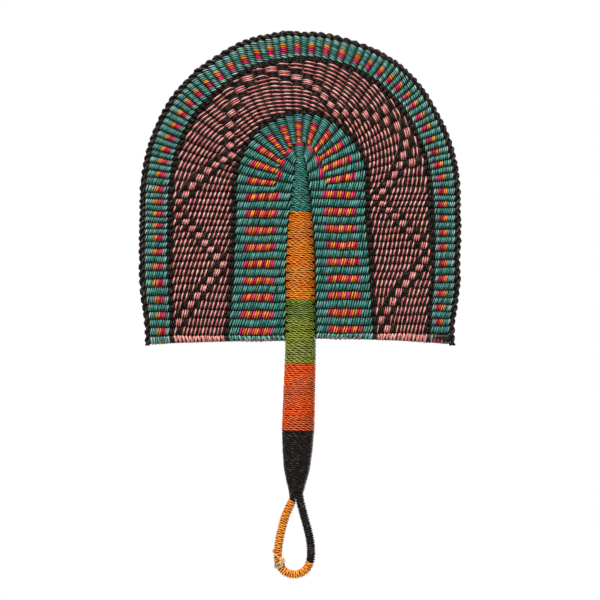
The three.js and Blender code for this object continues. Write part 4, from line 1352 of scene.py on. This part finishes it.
class FAN_OT_loop_windings(bpy.types.Operator):
    """Winds the hanging loop, black down the right leg and orange round to the left"""
    bl_idname = "fan.loop_windings"
    bl_label = "Loop windings"

    def execute(self, context):
        winding = context.scene.fan_winding
        line = loop_line()
        top_right = distance_at(line, LOOP_TOP_Z, RIGHT) - LOOP_TUCK
        change = distance_at(line, LOOP_BLACK_TO_Z, RIGHT)
        top_left = distance_at(line, LOOP_TOP_Z, LEFT)
        ply_radius = winding.ply_radius * winding.loop_ply
        ply_offset = winding.ply_offset / winding.loop_ply
        radius = LOOP_WOUND_RADIUS - (ply_radius + ply_offset / 2)
        for index, (node, colour, start, end, slot) in enumerate((
                ("Black_loop_winding", "black", top_right, change, "loop_black"),
                ("Orange_loop_winding", "winding_orange", change, top_left, "loop_orange"))):
            count = round((end - start) / winding.loop_pitch * LOOP_STEPS)
            places = []
            for step, share in enumerate(shares(count)):
                distance = lerp(start, end, share) + LOOP_STRAY * wander(step * 0.05, index * 4.1, 1)
                places.append((*round_loop(line, distance, step * TAU / LOOP_STEPS, radius), 1.0))
            pair = plied(
                random.Random(70 + index), places, index, ply_offset, drift=1.0, drift_length=12 * MM)
            under = sleeve(f"{node}_underlay", line, start, end, LOOP_WOUND_RADIUS - SLEEVE_DEPTH)
            add_winding(node, colour, slot, pair, ply_radius, under)
        return {"FINISHED"}


class FAN_OT_straw_tie(bpy.types.Operator):
    """Binds the natural straw tie round the left leg of the loop and knots it"""
    bl_idname = "fan.straw_tie"
    bl_label = "Straw tie"

    def execute(self, context):
        line = loop_line()
        rng = random.Random(81)
        start = distance_at(line, TIE_TO_Z, LEFT)
        end = distance_at(line, TIE_FROM_Z, LEFT)
        fibres = []
        for fibre in range(3):
            strand = Strand(rng)
            tone = rng.random()
            for step, share in enumerate(shares(round(TIE_TURNS * TIE_STEPS))):
                aside = (fibre - 1) * TIE_FIBRE_GAP * (1.2 - share)
                distance = lerp(start, end, share ** TIE_BUNCHING) + aside
                angle = (share - 1) * TIE_TURNS * TAU + 0.2
                radius = LOOP_WOUND_RADIUS + TIE_LIFT + TIE_STRAY * wander(step * 0.2, fibre, 2)
                strand.add(round_loop(line, distance, angle, radius)[0], 1.0, tone, 0.2)
            fibres.append(strand)
        add_strands("Tie_wraps", fibres, "straw", "natural_tie", (0.5 * MM, 0.5 * MM, 6), "Straw_tie")

        centre = line.at(distance_at(line, KNOT_Z, LEFT)) + KNOT_FROM_LEG
        knot = []
        for fibre in range(2):
            strand = Strand(rng)
            tone = rng.random()
            for share in shares(72):
                angle = share * TAU * 0.96 + 0.1
                swirl = Vector((
                    (math.sin(angle) + 2 * math.sin(2 * angle)) * KNOT_SIZE,
                    -math.sin(3 * angle) * KNOT_SIZE * 1.3,
                    (math.cos(angle) - 2 * math.cos(2 * angle)) * KNOT_SIZE,
                ))
                strand.add(centre + swirl + KNOT_FIBRE_GAP * fibre, 1.0, tone, 0.3)
            knot.append(strand)
        for reach in KNOT_ENDS:
            strand = Strand(rng)
            tone = rng.random()
            for share in shares(12):
                bow = KNOT_END_BOW * math.sin(share * math.pi)
                strand.add(centre + Vector(reach) * MM * share + bow, 1.0 - 0.4 * share, tone, 0.3)
            knot.append(strand)
        section = (0.75 * MM, 0.75 * MM, 6)
        add_strands("Tie_knot_strands", knot, "straw", "natural_tie", section, "Tie_knot")
        return {"FINISHED"}


class FAN_OT_spoke_finish(bpy.types.Operator):
    """Gives the spokes and the loop's core a streaky straw finish in the painted shade straw colour"""
    bl_idname = "fan.spoke_finish"
    bl_label = "Spoke finish"

    def execute(self, context):
        material = bundled_straw("bundled_straw", tuple(context.scene.fan_colours.shaded_straw))
        for name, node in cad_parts.items():
            if name.endswith("_spokes") or name == "Loop_core":
                node.data.materials.clear()
                node.data.materials.append(material)
        return {"FINISHED"}


# Floor, lights and camera

AMBIENT_STRENGTH = 0.15
FLOOR_TINTS = ((0.8, 0.8, 0.79), (0.86, 0.86, 0.85))


def area_light(name, place, target, size, power):
    light = bpy.data.lights.new(name, "AREA")
    light.shape = "DISK"
    light.size = size
    light.energy = power
    lamp = linked(name, light)
    lamp.location = place
    lamp.rotation_euler = (Vector(target) - Vector(place)).to_track_quat("-Z", "Y").to_euler()


class FAN_OT_stage(bpy.types.Operator):
    """Sets the pale floor, the soft lights, the white background and the camera"""
    bl_idname = "fan.stage"
    bl_label = "Stage"

    def execute(self, context):
        scene = context.scene
        stage = scene.fan_stage
        shape = bmesh.new()
        bmesh.ops.create_circle(shape, cap_ends=True, radius=stage.floor_radius, segments=96)
        bmesh.ops.translate(shape, verts=shape.verts, vec=(0, 0, stage.floor_z))
        mesh = mesh_from("Floor", shape)
        paint = Paint(bpy.data.materials.new("pale_floor"))
        place = paint.node("ShaderNodeTexCoord", output="Object")
        grain = paint.noise(place, scale=60.0)
        mesh.materials.append(paint.finish(paint.mix(grain, *FLOOR_TINTS), 0.7 + grain * 0.1))
        linked("Floor", mesh)

        middle = (0, 0, stage.eye_z)
        area_light("Key", (-0.2, -0.95, 1.75), middle, size=0.4, power=stage.key_power)
        area_light("Fill", (0.3, -2.3, 0.5), middle, size=1.0, power=stage.fill_power)
        area_light("Back", (0.5, 1.6, 1.4), middle, size=0.8, power=stage.back_power)

        paint = Paint(bpy.data.worlds.new("White_room"))
        seen = paint.node("ShaderNodeLightPath", output="Is Camera Ray")
        for output in ("Is Glossy Ray", "Is Transmission Ray"):
            ray = paint.node("ShaderNodeLightPath", output=output)
            seen = paint.node("ShaderNodeMath", {"operation": "MAXIMUM"}, {0: seen, 1: ray})
        ambient, white = [
            paint.node("ShaderNodeBackground", {}, {"Color": (1.0, 1.0, 1.0, 1.0), "Strength": strength})
            for strength in (AMBIENT_STRENGTH, 1.0)]
        chosen = paint.node("ShaderNodeMixShader", {}, {0: seen, 1: ambient, 2: white})
        paint.node("ShaderNodeOutputWorld", {}, {"Surface": chosen})
        scene.world = paint.owner

        camera = bpy.data.cameras.new("Camera")
        camera.lens = stage.lens
        camera.sensor_width = 36.0
        holder = linked("Camera", camera)
        holder.location = (stage.eye_x, -stage.distance, stage.eye_z)
        holder.rotation_euler = (math.pi / 2, 0, 0)
        scene.camera = holder
        scene.view_settings.view_transform = "Standard"
        return {"FINISHED"}


class FAN_PT_parts(bpy.types.Panel):
    """Lists the parts of the fan"""
    bl_idname = "FAN_PT_parts"
    bl_label = "Woven hand fan"
    bl_space_type = "VIEW_3D"
    bl_region_type = "UI"
    bl_category = "Hand fan"

    def draw(self, context):
        for operator in OPERATORS:
            self.layout.operator(operator.bl_idname)
        for label in SETTINGS:
            group = getattr(context.scene, label)
            box = self.layout.box()
            box.label(text=type(group).__doc__)
            for setting in type(group).__annotations__:
                box.prop(group, setting)


OPERATORS = (
    FAN_OT_checked_bands,
    FAN_OT_salmon_band,
    FAN_OT_black_rings,
    FAN_OT_spoke_straws,
    FAN_OT_edge_cord,
    FAN_OT_hems,
    FAN_OT_stem_windings,
    FAN_OT_loop_windings,
    FAN_OT_straw_tie,
    FAN_OT_spoke_finish,
    FAN_OT_stage,
)
SETTINGS = {
    "fan_weave": FanWeaveSettings,
    "fan_winding": FanWindingSettings,
    "fan_colours": FanColourSettings,
    "fan_stage": FanStageSettings,
}


def register():
    for group in SETTINGS.values():
        bpy.utils.register_class(group)
    for label, group in SETTINGS.items():
        setattr(bpy.types.Scene, label, bpy.props.PointerProperty(type=group))
    for item in (*OPERATORS, FAN_PT_parts):
        bpy.utils.register_class(item)


def unregister():
    for item in (FAN_PT_parts, *reversed(OPERATORS)):
        bpy.utils.unregister_class(item)
    for label, group in SETTINGS.items():
        delattr(bpy.types.Scene, label)
        bpy.utils.unregister_class(group)


def main():
    register()
    bpy.ops.fan.stage()
    bpy.ops.fan.checked_bands()
    bpy.ops.fan.salmon_band()
    bpy.ops.fan.black_rings()
    bpy.ops.fan.spoke_straws()
    bpy.ops.fan.edge_cord()
    bpy.ops.fan.hems()
    bpy.ops.fan.stem_windings()
    bpy.ops.fan.loop_windings()
    bpy.ops.fan.straw_tie()
    bpy.ops.fan.spoke_finish()


if __name__ == "__main__":
    main()
